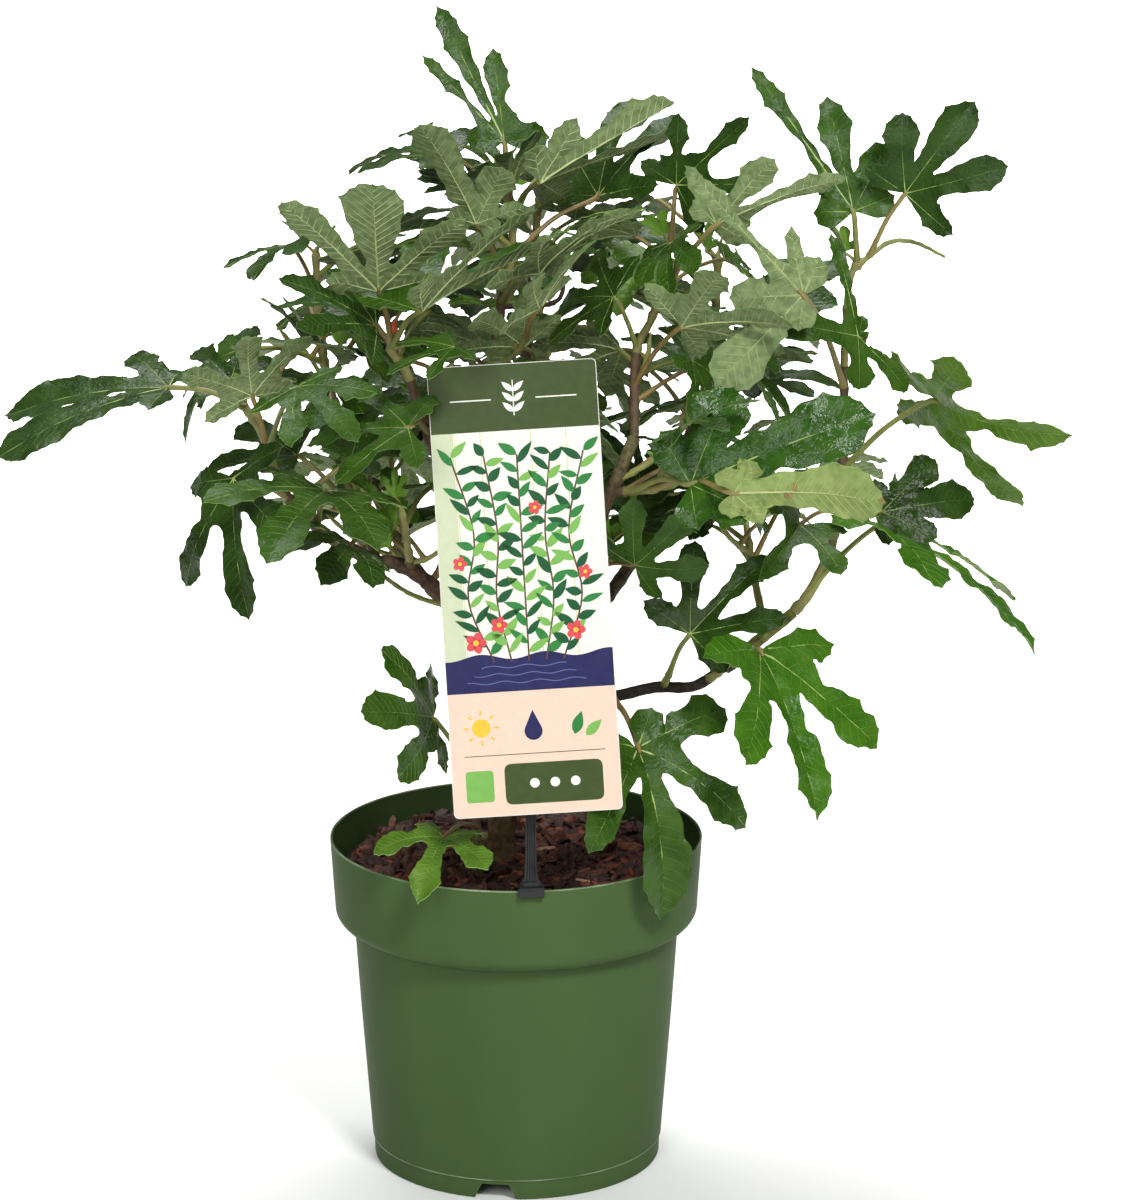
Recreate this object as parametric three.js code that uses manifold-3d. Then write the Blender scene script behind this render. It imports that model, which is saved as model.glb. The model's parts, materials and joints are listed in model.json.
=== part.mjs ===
// A young fig tree in a plastic nursery pot, with its clip-on plant label.
// Millimetres, +Z up. The origin is the centre of the pot's flat foot, and the label is on the -Y side.
// A compass angle is seen from above: 0 is +X, 90 is +Y. A rise is the angle above the horizontal.

import * as THREE from 'three';
import { mergeVertices } from 'three/addons/utils/BufferGeometryUtils.js';
import Module from 'manifold-3d';

const wasm = await Module();
wasm.setup();

// ---------------------------------------------------------------- driving dimensions

const GAP = 0.3;                 // air left between neighbouring solids

const POT = {
  rimRadius: 105, height: 188.6, lipWidth: 1.5, lipRound: 0.6, wall: 1.8,
  collarFootRadius: 102.5, collarFootHeight: 148,
  neckRadius: 91.4, neckHeight: 126,
  stepRadius: 82.6, stepHeight: 12, stepDepth: 0.8, footRadius: 81.4,
  padRadius: 50, channelTop: 7, channelInner: 53, channelOuter: 77, channelSlope: 2, floor: 2.5,
  sides: 32,
};
const NOTCH = { count: 3, first: -98, bottomWidth: 25, topWidth: 15, height: 10, reach: 12 };
const DRAIN = { count: 6, first: -68, radius: 5, circle: 65 };

const SOIL = { top: 172, edgeDip: 3, crown: 1.5 };

const CARD = { width: 91, height: 243, thickness: 0.9, corner: 6, centre: [6, -85.5, 353], tilt: 3.5, lean: 12.5 };
const HOLDER = { compass: -85, width: 6, depth: 2.4, length: 150, lift: 0.9 };
const CLIP = { width: 14, leg: 7, inner: 12, wall: 2.2, cap: 2.6, outerPlay: 1.2, innerPlay: 1.8 };

const FLARE_HEIGHT = 14;         // how far up its foot the trunk still widens
const LIMB_SIDES = 8;
const SHOOT_SIDES = 6;
const PETIOLE = { radius: 1.25, sides: 3, rings: 2, arch: 0.08, sink: 0.6 };
const BUD_LENGTH = 12;

// A fig leaf has five lobes round its foot. Reach and width are shares of the leaf's length.
// The two lobes nearest the petiole are plain points.
const LOBES = [
  { angle: -100, reach: 0.5, half: 0 },
  { angle: -42, reach: 0.85, half: 0.16 },
  { angle: 0, reach: 1, half: 0.16 },
  { angle: 42, reach: 0.85, half: 0.16 },
  { angle: 100, reach: 0.5, half: 0 },
];
const LOBE_WIDEST = 0.72;        // where along its lobe a lobe is widest
const SINUS_REACH = 0.28;        // how far out the bays between the lobes lie
const HUB_REACH = 0.05;          // where on the midrib the blade's faces meet
const LEAF_THINNESS = 1 / 75;    // thickness as a share of the length

// The trunk and its boughs. Each starts on its parent, a share of the way up, and runs in legs
// of [compass, rise, length], tapering from the first radius to the second.
const LIMBS = {
  trunk: {
    foot: [-9, 2], flare: 3, radius: [8, 6],
    legs: [[0, 90, 12], [20, 80, 30], [25, 83, 40], [40, 85, 42]],
  },
  right_bough: {
    parent: 'trunk', at: 0.64, radius: [5, 4],
    legs: [[-15, 25, 30], [-15, 15, 35], [-10, 15, 20], [-10, 5, 22], [-10, 35, 20]],
  },
  right_bough_upper: {
    parent: 'right_bough', at: 1, radius: [3.9, 3.3],
    legs: [[-5, 40, 25], [0, 40, 25]],
  },
  left_bough: {
    parent: 'trunk', at: 0.86, radius: [5, 3.4],
    legs: [[-150, 50, 45], [-155, 45, 35], [-160, 35, 25], [-160, 10, 12], [-165, 30, 20], [-165, 35, 18]],
  },
  centre_left_bough: {
    parent: 'trunk', at: 0.97, radius: [4.4, 3.2],
    legs: [[-135, 65, 85], [-140, 60, 50]],
  },
  centre_right_bough: {
    parent: 'trunk', at: 0.93, radius: [4.8, 3.4],
    legs: [[-45, 55, 75], [-45, 60, 55], [20, 65, 15], [40, 60, 18]],
  },
  back_left_bough: {
    parent: 'trunk', at: 0.9, radius: [4.4, 3.2],
    legs: [[150, 35, 80], [145, 55, 70]],
  },
  back_right_bough: {
    parent: 'trunk', at: 0.84, radius: [4.4, 3.2],
    legs: [[35, 35, 85], [40, 55, 70]],
  },
  centre_bough: {
    parent: 'trunk', at: 1, radius: [4.6, 3],
    legs: [[-140, 87, 80], [-140, 80, 60], [-105, 78, 40]],
  },
  back_bough: {
    parent: 'centre_bough', at: 0.2, radius: [4, 3],
    legs: [[90, 40, 75], [85, 60, 70]],
  },
  sucker: {
    foot: [-21, -38], flare: 0.5, radius: [3, 2.6],
    legs: [[100, 90, 8], [100, 82, 22]],
  },
};

// The foliage masses. Each grows from a limb by one shoot, with leaves on petioles of its own:
// first the ones that are placed one by one, then "fill" more by the seeded rule in fillLeaf().
const MASSES = {
  left_foliage: {
    limb: 'left_bough', at: 1, radius: [3, 2], fill: 4, seed: 11,
    legs: [[-165, 45, 20], [-170, 65, 25], [165, 70, 20], [165, 55, 18]],
    leaves: [
      leaf(0.02, [-80, 35, 55], [-105, 5, 90], -10, { droop: 35 }),
      leaf(0.3, [-135, 25, 50], [-90, -45, 75], 65, { droop: 40 }),
      leaf(0.65, [-130, 70, 35], [-95, 55, 60], 25, { spread: 1.1 }),
      leaf(0.97, [165, 10, 45], [170, -5, 90], -20, { spread: 0.7, droop: 25, bias: 0.25 }),
    ],
  },
  left_inner_foliage: {
    limb: 'left_bough', at: 0.62, radius: [2.4, 1.8], fill: 5, seed: 23,
    legs: [[-95, 50, 20], [-105, 65, 30]],
    leaves: [],
  },
  left_back_foliage: {
    limb: 'left_bough', at: 0.75, radius: [2.4, 1.8], fill: 7, seed: 27,
    legs: [[120, 45, 45], [110, 65, 40]],
    leaves: [],
  },
  centre_left_foliage: {
    limb: 'centre_left_bough', at: 1, radius: [3, 2], fill: 5, seed: 31,
    legs: [[-150, 70, 35], [-165, 70, 22], [-160, 55, 12], [-60, 80, 18]],
    leaves: [
      leaf(0.2, [-100, 15, 55], [170, 0, 60], -35, { spread: 1.1, fold: 5, droop: 30 }),
      leaf(0.56, [180, 60, 35], [-145, 35, 65], -45, { spread: 0.75, droop: 15, bias: 0.25 }),
      leaf(0.8, [-65, 35, 50], [35, 25, 90], -15, { spread: 1.05, fold: 30, droop: 15, bias: -0.1 }),
      leaf(0.8, [-50, 10, 55], [-155, -5, 40], -15, {}),
      leaf(0.86, [-110, 60, 35], [-90, 50, 90], 0, { spread: 0.8, droop: 5, bias: -0.1 }),
    ],
  },
  centre_foliage: {
    limb: 'centre_bough', at: 1, radius: [2.8, 1.8], fill: 5, seed: 41,
    legs: [[35, 80, 20], [35, 75, 30], [120, 85, 20], [180, 85, 15]],
    leaves: [
      leaf(0.25, [-70, 25, 65], [-35, 45, 80], 0, {}),
      leaf(0.35, [-115, 35, 55], [-155, 70, 70], 30, { spread: 0.85, bias: -0.15 }),
      leaf(0.55, [25, 30, 60], [75, 55, 70], -15, { spread: 0.85, bias: -0.1 }),
      leaf(0.8, [-65, 35, 45], [15, 30, 85], -50, { spread: 0.75, fold: 20, droop: 5, bias: 0.45 }),
      leaf(1, [180, 75, 20], [130, 55, 90], 25, { spread: 0.8, fold: 5, droop: 10, bias: -0.1 }),
    ],
  },
  centre_right_foliage: {
    limb: 'centre_right_bough', at: 1, radius: [2.8, 1.8], fill: 5, seed: 53,
    legs: [[85, 65, 50], [50, 50, 20], [65, 60, 25], [40, 70, 20]],
    leaves: [
      leaf(0.25, [-50, 45, 55], [-25, 15, 70], -45, { fold: 15 }),
      leaf(0.43, [-125, 55, 40], [135, -5, 55], -50, {}),
      leaf(0.62, [-20, 50, 40], [20, 30, 80], 20, { spread: 0.9, fold: 15, droop: 20 }),
      leaf(1, [0, 75, 15], [-15, 45, 50], 55, { fold: 30, bias: -0.15 }),
    ],
  },
  front_right_foliage: {
    limb: 'centre_right_bough', at: 0.8, radius: [2.6, 1.8], fill: 4, seed: 61,
    legs: [[-30, 10, 22], [-15, 15, 20]],
    leaves: [
      leaf(0.35, [-60, 10, 75], [0, 50, 100], 0, { spread: 1.3, fold: 20, droop: 40 }),
      leaf(0.6, [-55, 0, 95], [25, 10, 85], -55, {}),
    ],
  },
  low_right_foliage: {
    limb: 'centre_right_bough', at: 0.45, radius: [2.4, 1.8], fill: 4, seed: 67,
    legs: [[-40, 15, 15], [-30, 30, 20]],
    leaves: [
      leaf(0.5, [-35, 10, 25], [-40, 40, 50], 115, {}),
    ],
  },
  right_foliage: {
    limb: 'right_bough_upper', at: 1, radius: [3.1, 1.8], fill: 4, seed: 71,
    legs: [[15, 50, 15], [20, 65, 30], [45, 80, 45], [85, 85, 65], [65, 75, 40], [15, 40, 12]],
    leaves: [
      leaf(0.02, [5, 45, 65], [-20, -20, 110], -10, { spread: 1.15, fold: 5, droop: 30, bias: 0.2 }),
      leaf(0.25, [45, 10, 35], [20, 15, 65], 25, {}),
      leaf(0.3, [-125, 0, 40], [-110, -15, 50], -45, { spread: 1.15, fold: 35 }),
      leaf(0.41, [-15, 40, 65], [-45, -15, 85], 125, { spread: 1.35, bias: -0.15 }),
      leaf(0.63, [-110, 35, 90], [145, 20, 95], 145, { spread: 1.1, fold: 50, droop: 55, bias: 0.3 }),
      leaf(0.84, [-95, -15, 45], [-140, 45, 75], -145, { spread: 0.7, fold: 30, droop: 30, bias: -0.2 }),
      leaf(0.96, [180, 75, 30], [135, 30, 135], -105, { fold: 5, droop: 35, bias: 0.4 }),
      leaf(1, [-30, 65, 45], [-75, 5, 90], 70, { spread: 1.4, fold: 30, droop: 45, bias: -0.15 }),
    ],
  },
  right_back_foliage: {
    limb: 'right_bough_upper', at: 0.6, radius: [2.4, 1.8], fill: 7, seed: 79,
    legs: [[100, 40, 45], [105, 60, 45]],
    leaves: [],
  },
  right_front_spur_foliage: {
    limb: 'right_bough', at: 0.47, radius: [2.2, 1.8], fill: 0, seed: 83,
    legs: [[-85, 5, 14]],
    leaves: [
      leaf(0.9, [-75, -15, 50], [-60, -50, 95], 5, { fold: 25, droop: 55, bias: -0.1 }),
    ],
  },
  right_inner_spur_foliage: {
    limb: 'right_bough', at: 0.7, radius: [2.2, 1.8], fill: 0, seed: 87,
    legs: [[-70, 45, 14]],
    leaves: [
      leaf(0.9, [-70, 45, 45], [20, 45, 65], 45, { spread: 0.95, fold: 15 }),
    ],
  },
  right_bend_spur_foliage: {
    limb: 'right_bough', at: 0.9, radius: [2.2, 1.8], fill: 0, seed: 89,
    legs: [[-55, 30, 14]],
    leaves: [
      leaf(0.9, [-55, 30, 45], [-55, -45, 100], -10, { spread: 0.85, fold: 15, droop: 20 }),
    ],
  },
  sucker_foliage: {
    limb: 'sucker', at: 1, radius: [2.4, 1.6], fill: 0, seed: 97,
    legs: [[110, 85, 28]],
    leaves: [
      leaf(0.05, [-110, 10, 50], [-105, -5, 50], -5, { spread: 1.25, fold: 15, droop: 40 }),
      leaf(0.85, [-155, 60, 50], [-115, 20, 60], -55, { fold: 5, droop: 20 }),
    ],
  },
  back_left_foliage: {
    limb: 'back_left_bough', at: 1, radius: [3, 2], fill: 10, seed: 101,
    legs: [[140, 60, 50], [120, 75, 50], [100, 80, 30]],
    leaves: [],
  },
  back_foliage: {
    limb: 'back_bough', at: 1, radius: [3, 2], fill: 10, seed: 107,
    legs: [[80, 65, 50], [70, 75, 50]],
    leaves: [],
  },
  back_right_foliage: {
    limb: 'back_right_bough', at: 1, radius: [3, 2], fill: 10, seed: 113,
    legs: [[45, 60, 50], [60, 75, 50], [80, 80, 30]],
    leaves: [],
  },
  back_low_foliage: {
    limb: 'back_bough', at: 0.3, radius: [2.4, 1.8], fill: 6, seed: 127,
    legs: [[100, 15, 45], [95, 35, 30]],
    leaves: [],
  },
};

// What the rule for the other leaves draws from: each pair is the lowest and highest value.
const FILL = {
  tries: 120, turn: 137.5, clear: 7, first: 0.08,
  jitter: [-30, 30], petioleRise: [10, 55], petioleLength: [35, 70], sag: [10, 50],
  length: [50, 80], roll: [-25, 25], spread: [0.8, 1.05], fold: [5, 25], droop: [15, 45], bias: [-0.12, 0.12],
};

// The room that the rule's leaves keep to: a rounded lozenge about its centre, with a level floor.
const CROWN = { centre: [20, 25, 420], radii: [255, 255, 200], power: 1.4, floor: 350 };
const CARD_CLEARANCE = 15;       // none of them hangs this close before or beside the label's face

const COLOURS = {
  pot: 0x4a6f3c, soil: 0x3a2218, bark: 0x5a4531, green_wood: 0x8a8a4a, foliage: 0x3f6b34,
  card: 0x5b6b3c, holder: 0x151515,
};

// ---------------------------------------------------------------- small helpers

function leaf(at, petiole, blade, roll, form) {
  return { at, petiole, blade, roll, spread: 1, fold: 10, droop: 25, bias: 0, ...form };
}

function heading(compass, rise) {
  const c = THREE.MathUtils.degToRad(compass);
  const r = THREE.MathUtils.degToRad(rise);
  return new THREE.Vector3(Math.cos(r) * Math.cos(c), Math.cos(r) * Math.sin(c), Math.sin(r));
}

// A small seeded random source, so that every build grows the same tree.
function seeded(seed) {
  let state = seed >>> 0;
  const next = () => {
    state = (state + 0x6d2b79f5) >>> 0;
    let t = Math.imul(state ^ (state >>> 15), 1 | state);
    t = (t + Math.imul(t ^ (t >>> 7), 61 | t)) ^ t;
    return ((t ^ (t >>> 14)) >>> 0) / 4294967296;
  };
  return ([low, high]) => low + (high - low) * next();
}

// ---------------------------------------------------------------- solids

function solidOf(geometry) {
  geometry.deleteAttribute('normal');
  geometry.deleteAttribute('uv');
  const merged = mergeVertices(geometry, 1e-4);
  const index = merged.index.array;
  const triVerts = [];
  for (let i = 0; i < index.length; i += 3) {
    const [a, b, c] = [index[i], index[i + 1], index[i + 2]];
    if (a !== b && b !== c && c !== a) triVerts.push(a, b, c);
  }
  const vertProperties = new Float32Array(merged.attributes.position.array);
  return new wasm.Manifold(new wasm.Mesh({ numProp: 3, vertProperties, triVerts: new Uint32Array(triVerts) }));
}

function geometryOf(solid) {
  const mesh = solid.getMesh();
  const geometry = new THREE.BufferGeometry();
  geometry.setAttribute('position', new THREE.BufferAttribute(new Float32Array(mesh.vertProperties), 3));
  geometry.setIndex(new THREE.BufferAttribute(new Uint32Array(mesh.triVerts), 1));
  geometry.computeVertexNormals();
  return geometry;
}

// The largest piece of a solid: a cut can leave crumbs, which are dropped.
function largest(solid) {
  return solid.decompose().sort((a, b) => b.volume() - a.volume())[0];
}

// A solid of revolution round Z from [radius, height] pairs.
function turned(profile, sides) {
  const points = profile.map(([radius, height]) => new THREE.Vector2(radius, height));
  const geometry = new THREE.LatheGeometry(points, sides);
  geometry.rotateX(Math.PI / 2);
  const solid = solidOf(geometry);
  return solid.volume() > 0 ? solid : solidOf(flipped(geometry));
}

function flipped(geometry) {
  const index = geometry.index.array;
  for (let i = 0; i < index.length; i += 3) {
    [index[i], index[i + 1]] = [index[i + 1], index[i]];
  }
  return geometry;
}

// A closed round limb along a curve. radiusAt takes the share of the way along, and the overrun
// carries the last ring that much further on.
function tube(curve, radiusAt, sides, rings, overrun = 0) {
  const frames = curve.computeFrenetFrames(rings, false);
  const positions = [];
  for (let i = 0; i <= rings; i += 1) {
    const share = i / rings;
    const centre = curve.getPointAt(share);
    if (i === rings) centre.addScaledVector(curve.getTangentAt(share), overrun);
    for (let k = 0; k < sides; k += 1) {
      const turn = (2 * Math.PI * k) / sides;
      const out = frames.normals[i].clone().multiplyScalar(Math.cos(turn));
      out.addScaledVector(frames.binormals[i], Math.sin(turn)).multiplyScalar(radiusAt(share));
      positions.push(...centre.clone().add(out).toArray());
    }
  }
  const index = [];
  for (let i = 0; i < rings; i += 1) {
    for (let k = 0; k < sides; k += 1) {
      const a = i * sides + k;
      const b = i * sides + ((k + 1) % sides);
      index.push(a, b, a + sides, b, b + sides, a + sides);
    }
  }
  const last = rings * sides;
  for (let k = 1; k < sides - 1; k += 1) {
    index.push(0, k + 1, k, last, last + k, last + k + 1);
  }
  const geometry = new THREE.BufferGeometry();
  geometry.setAttribute('position', new THREE.BufferAttribute(new Float32Array(positions), 3));
  geometry.setIndex(index);
  return solidOf(geometry);
}

function box(width, depth, height, place) {
  const geometry = new THREE.BoxGeometry(width, depth, height);
  geometry.applyMatrix4(place);
  return solidOf(geometry);
}

// ---------------------------------------------------------------- pot and soil

// The pot's inner wall from the rim down to the middle of the floor, drawn in by a margin.
function potInside(margin) {
  const { rimRadius, height, lipWidth, wall } = POT;
  return [
    [rimRadius - lipWidth - margin, height],
    [POT.collarFootRadius - wall - margin, POT.collarFootHeight - 2],
    [POT.neckRadius - wall - margin, POT.neckHeight - 2],
    [POT.stepRadius - wall - margin, POT.stepHeight + margin],
    [POT.channelInner + 1, POT.channelTop + POT.floor + margin],
    [POT.padRadius - 1, POT.floor + margin],
    [0, POT.floor + margin],
  ];
}

function potSolid() {
  const { rimRadius, height, collarFootRadius, collarFootHeight, neckRadius, neckHeight } = POT;
  const drop = collarFootRadius - neckRadius;
  const fall = collarFootHeight - neckHeight;
  const outside = [
    [0, 0],
    [POT.padRadius, 0],
    [POT.channelInner, POT.channelTop],
    [POT.channelOuter, POT.channelTop],
    [POT.channelOuter + POT.channelSlope, 0],
    [POT.footRadius, 0],
    [POT.stepRadius - POT.stepDepth, POT.stepHeight - 2],
    [POT.stepRadius, POT.stepHeight],
    [neckRadius, neckHeight],
    [neckRadius + 0.4 * drop, neckHeight + 0.3 * fall],
    [neckRadius + 0.85 * drop, neckHeight + 0.65 * fall],
    [collarFootRadius, collarFootHeight],
    [rimRadius, height - POT.lipRound],
    [rimRadius - POT.lipRound / 2, height],
  ];
  let pot = turned([...outside, ...potInside(0)], POT.sides);
  for (let i = 0; i < NOTCH.count; i += 1) {
    pot = pot.subtract(notch(NOTCH.first + (360 / NOTCH.count) * i));
  }
  for (let i = 0; i < DRAIN.count; i += 1) {
    pot = pot.subtract(drainHole(DRAIN.first + (360 / DRAIN.count) * i));
  }
  return pot;
}

// A drainage notch in the foot's edge, wider at the bottom.
function notch(compass) {
  const shape = new THREE.Shape();
  shape.moveTo(-NOTCH.bottomWidth / 2, -1);
  shape.lineTo(NOTCH.bottomWidth / 2, -1);
  shape.lineTo(NOTCH.topWidth / 2, NOTCH.height - 1);
  shape.lineTo(-NOTCH.topWidth / 2, NOTCH.height - 1);
  shape.closePath();
  const geometry = new THREE.ExtrudeGeometry(shape, { depth: NOTCH.reach, bevelEnabled: false });
  geometry.rotateX(Math.PI / 2);
  geometry.translate(0, -(POT.channelOuter - 5), 0);
  geometry.rotateZ(THREE.MathUtils.degToRad(compass + 90));
  return solidOf(geometry);
}

function drainHole(compass) {
  const geometry = new THREE.CylinderGeometry(DRAIN.radius, DRAIN.radius, 3 * POT.floor, 8);
  geometry.rotateX(Math.PI / 2);
  const place = heading(compass, 0).multiplyScalar(DRAIN.circle);
  geometry.translate(place.x, place.y, POT.channelTop + POT.floor / 2);
  return solidOf(geometry);
}

function soilSolid() {
  const inside = potInside(GAP);
  const surface = [
    [0, SOIL.top],
    [0.55 * POT.rimRadius, SOIL.top],
    [0.8 * POT.rimRadius, SOIL.top + SOIL.crown],
    [POT.collarFootRadius - 3, SOIL.top - SOIL.edgeDip],
  ];
  return turned([...surface, ...inside.slice(1)], POT.sides);
}

// ---------------------------------------------------------------- limbs

function curveOf(start, legs) {
  const points = [start.clone()];
  for (const [compass, rise, length] of legs) {
    points.push(points.at(-1).clone().addScaledVector(heading(compass, rise), length));
  }
  return new THREE.CatmullRomCurve3(points);
}

function limbCurve(name) {
  const plan = LIMBS[name];
  if (plan.foot) return curveOf(new THREE.Vector3(...plan.foot, SOIL.top + GAP), plan.legs);
  return curveOf(limbCurve(plan.parent).getPointAt(plan.at), plan.legs);
}

function limbSolid(name, fatter) {
  const plan = LIMBS[name];
  const curve = limbCurve(name);
  const flareShare = FLARE_HEIGHT / curve.getLength();
  const radiusAt = (share) => {
    const flare = (plan.flare ?? 0) * Math.max(0, 1 - share / flareShare) ** 2;
    return plan.radius[0] + (plan.radius[1] - plan.radius[0]) * share + flare + fatter;
  };
  return tube(curve, radiusAt, LIMB_SIDES, 2 * plan.legs.length, fatter);
}

// ---------------------------------------------------------------- leaves

// The leaf's own frame: along its midrib, to its left, and out of its upper face.
function leafFrame(compass, rise, roll) {
  const along = heading(compass, rise);
  const face = new THREE.Vector3(0, 0, 1).addScaledVector(along, -along.z).normalize();
  face.applyAxisAngle(along, THREE.MathUtils.degToRad(roll));
  return { along, left: face.clone().cross(along), face };
}

// A point of the blade, from its angle off the midrib and its reach as a share of the length.
function bladePoint(plan, foot, frame, angle, reach) {
  const length = plan.blade[2];
  const turn = THREE.MathUtils.degToRad(angle);
  const sag = (THREE.MathUtils.degToRad(plan.droop) * reach) / 2;
  const out = length * reach * Math.cos(sag);
  const up = Math.abs(Math.sin(turn)) * length * reach * Math.tan(THREE.MathUtils.degToRad(plan.fold));
  const lift = up - length * reach * Math.sin(sag);
  const point = foot.clone().addScaledVector(frame.along, out * Math.cos(turn));
  return point.addScaledVector(frame.left, out * Math.sin(turn)).addScaledVector(frame.face, lift);
}

// The five lobes as this leaf has them: angle, reach and half width, with its spread and bias.
function lobesOf(plan) {
  return LOBES.map(({ angle, reach, half }) => ({
    angle: angle * plan.spread,
    reach: reach * (1 + Math.sign(angle) * plan.bias),
    half,
  }));
}

function bladeOutline(plan) {
  const lobes = lobesOf(plan);
  const outline = [];
  lobes.forEach(({ angle, reach, half }, i) => {
    const widest = reach * LOBE_WIDEST;
    const lean = THREE.MathUtils.radToDeg(Math.atan2(half, widest));
    const flank = Math.hypot(half, widest);
    if (half > 0) outline.push([angle - lean, flank]);
    outline.push([angle, reach]);
    if (half > 0) outline.push([angle + lean, flank]);
    if (i < lobes.length - 1) outline.push([(angle + lobes[i + 1].angle) / 2, SINUS_REACH]);
  });
  return outline;
}

function bladeSolid(plan, foot, frame) {
  const thickness = (plan.blade[2] * LEAF_THINNESS) / Math.cos(THREE.MathUtils.degToRad(plan.fold));
  const hub = bladePoint(plan, foot, frame, 0, HUB_REACH);
  const edge = bladeOutline(plan).map(([angle, reach]) => bladePoint(plan, foot, frame, angle, reach));
  const points = [hub, foot.clone(), ...edge];
  const count = points.length;
  const positions = [];
  for (const side of [0.5, -0.5]) {
    for (const point of points) {
      positions.push(...point.clone().addScaledVector(frame.face, side * thickness).toArray());
    }
  }
  const index = [];
  for (let i = 1; i < count; i += 1) {
    const next = i < count - 1 ? i + 1 : 1;
    index.push(0, i, next, count, count + next, count + i);
    index.push(i, count + i, count + next, i, count + next, next);
  }
  const geometry = new THREE.BufferGeometry();
  geometry.setAttribute('position', new THREE.BufferAttribute(new Float32Array(positions), 3));
  geometry.setIndex(index);
  return solidOf(geometry);
}

// Where a leaf's petiole starts on the shoot and where its blade begins.
function leafPlace(shoot, plan) {
  const start = shoot.getPointAt(plan.at);
  const [compass, rise, length] = plan.petiole;
  const foot = start.clone().addScaledVector(heading(compass, rise), length);
  const frame = leafFrame(plan.blade[0], plan.blade[1], plan.roll);
  const middle = start.clone().lerp(foot, 0.5);
  middle.z += PETIOLE.arch * length;
  return { start, middle, foot, frame };
}

function leafSolids(shoot, plan) {
  const { start, middle, foot, frame } = leafPlace(shoot, plan);
  const sunk = foot.clone().lerp(bladePoint(plan, foot, frame, 0, HUB_REACH), PETIOLE.sink);
  const petiole = tube(
    new THREE.CatmullRomCurve3([start, middle, sunk]),
    () => PETIOLE.radius,
    PETIOLE.sides,
    PETIOLE.rings,
  );
  return [petiole, bladeSolid(plan, foot, frame)];
}

// Points spread over a leaf, which stand for it when another leaf looks for room.
function leafSamples(shoot, plan) {
  const { start, middle, foot, frame } = leafPlace(shoot, plan);
  const samples = [];
  for (let share = 0.4; share < 1; share += 0.1) {
    samples.push(share < 0.5 ? start.clone().lerp(middle, 2 * share) : middle.clone().lerp(foot, 2 * share - 1));
  }
  for (const { angle, reach, half } of lobesOf(plan)) {
    for (const share of [0.2, 0.3, 0.4, 0.5, 0.6, 0.7, 0.8, 0.9, 1]) {
      const along = reach * share;
      const lean = THREE.MathUtils.radToDeg(Math.atan2(half, along)) * (share < 1 ? 1 : 0.4);
      for (const side of [-1, -0.5, 0, 0.5, 1]) {
        samples.push(bladePoint(plan, foot, frame, angle + side * lean, along));
      }
    }
  }
  return samples;
}

function curveSamples(curve, first) {
  const count = Math.ceil(curve.getLength() / 8);
  return curve.getSpacedPoints(count).filter((point, i) => i / count >= first);
}

function cardSamples() {
  const place = cardPlace();
  const samples = [];
  for (let i = 0; i <= 9; i += 1) {
    for (let k = 0; k <= 24; k += 1) {
      const spot = new THREE.Vector3((i / 9 - 0.5) * CARD.width, 0, (k / 24 - 0.5) * CARD.height);
      samples.push(spot.applyMatrix4(place));
    }
  }
  return samples;
}

function isClear(samples, taken) {
  const limit = FILL.clear ** 2;
  const middle = samples.reduce((sum, point) => sum.add(point), new THREE.Vector3()).divideScalar(samples.length);
  const reach = Math.max(...samples.map((point) => point.distanceTo(middle))) + FILL.clear;
  const near = taken.filter((point) => point.distanceTo(middle) < reach);
  return samples.every((point) => near.every((other) => point.distanceToSquared(other) > limit));
}

function isInCrown(samples) {
  const { centre, radii, power, floor } = CROWN;
  const [across, before] = [CARD.width / 2 + CARD_CLEARANCE, CARD.centre[1] + 2 * CARD_CLEARANCE];
  const top = CARD.centre[2] + CARD.height / 2 + CARD_CLEARANCE;
  return samples.every((point) => {
    const shares = point.toArray().map((value, i) => Math.abs((value - centre[i]) / radii[i]) ** power);
    const hidesCard = Math.abs(point.x - CARD.centre[0]) < across && point.y < before && point.z < top;
    return point.z > floor && shares[0] + shares[1] + shares[2] < 1 && !hidesCard;
  });
}

// One try at a further leaf: the i-th of a shoot turns on by the golden angle from the one below it.
function fillLeaf(draw, i, count) {
  const compass = FILL.turn * i + draw(FILL.jitter);
  const at = FILL.first + ((1 - FILL.first) * (i + 0.5)) / count;
  const rise = draw(FILL.petioleRise);
  const petiole = [compass, rise, draw(FILL.petioleLength)];
  const blade = [compass + draw(FILL.jitter), rise - draw(FILL.sag), draw(FILL.length)];
  const form = { spread: draw(FILL.spread), fold: draw(FILL.fold), droop: draw(FILL.droop), bias: draw(FILL.bias) };
  return leaf(at, petiole, blade, draw(FILL.roll), form);
}

function shootCurve(plan) {
  return curveOf(limbCurve(plan.limb).getPointAt(plan.at), plan.legs);
}

// Every mass's leaves: the placed ones as they are, then those of the rule that find room.
function growLeaves() {
  const grown = {};
  const taken = cardSamples();
  for (const name of Object.keys(LIMBS)) taken.push(...curveSamples(limbCurve(name), 0));
  for (const [name, plan] of Object.entries(MASSES)) {
    const shoot = shootCurve(plan);
    taken.push(...curveSamples(shoot, 0));
    grown[name] = [...plan.leaves];
    for (const each of plan.leaves) taken.push(...leafSamples(shoot, each));
  }
  for (const [name, plan] of Object.entries(MASSES)) {
    const shoot = shootCurve(plan);
    const draw = seeded(plan.seed);
    for (let i = 0; i < plan.fill; i += 1) {
      for (let attempt = 0; attempt < FILL.tries; attempt += 1) {
        const candidate = fillLeaf(draw, i, plan.fill);
        const samples = leafSamples(shoot, candidate);
        if (isInCrown(samples) && isClear(samples, taken)) {
          grown[name].push(candidate);
          taken.push(...samples);
          break;
        }
      }
    }
  }
  return grown;
}

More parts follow.
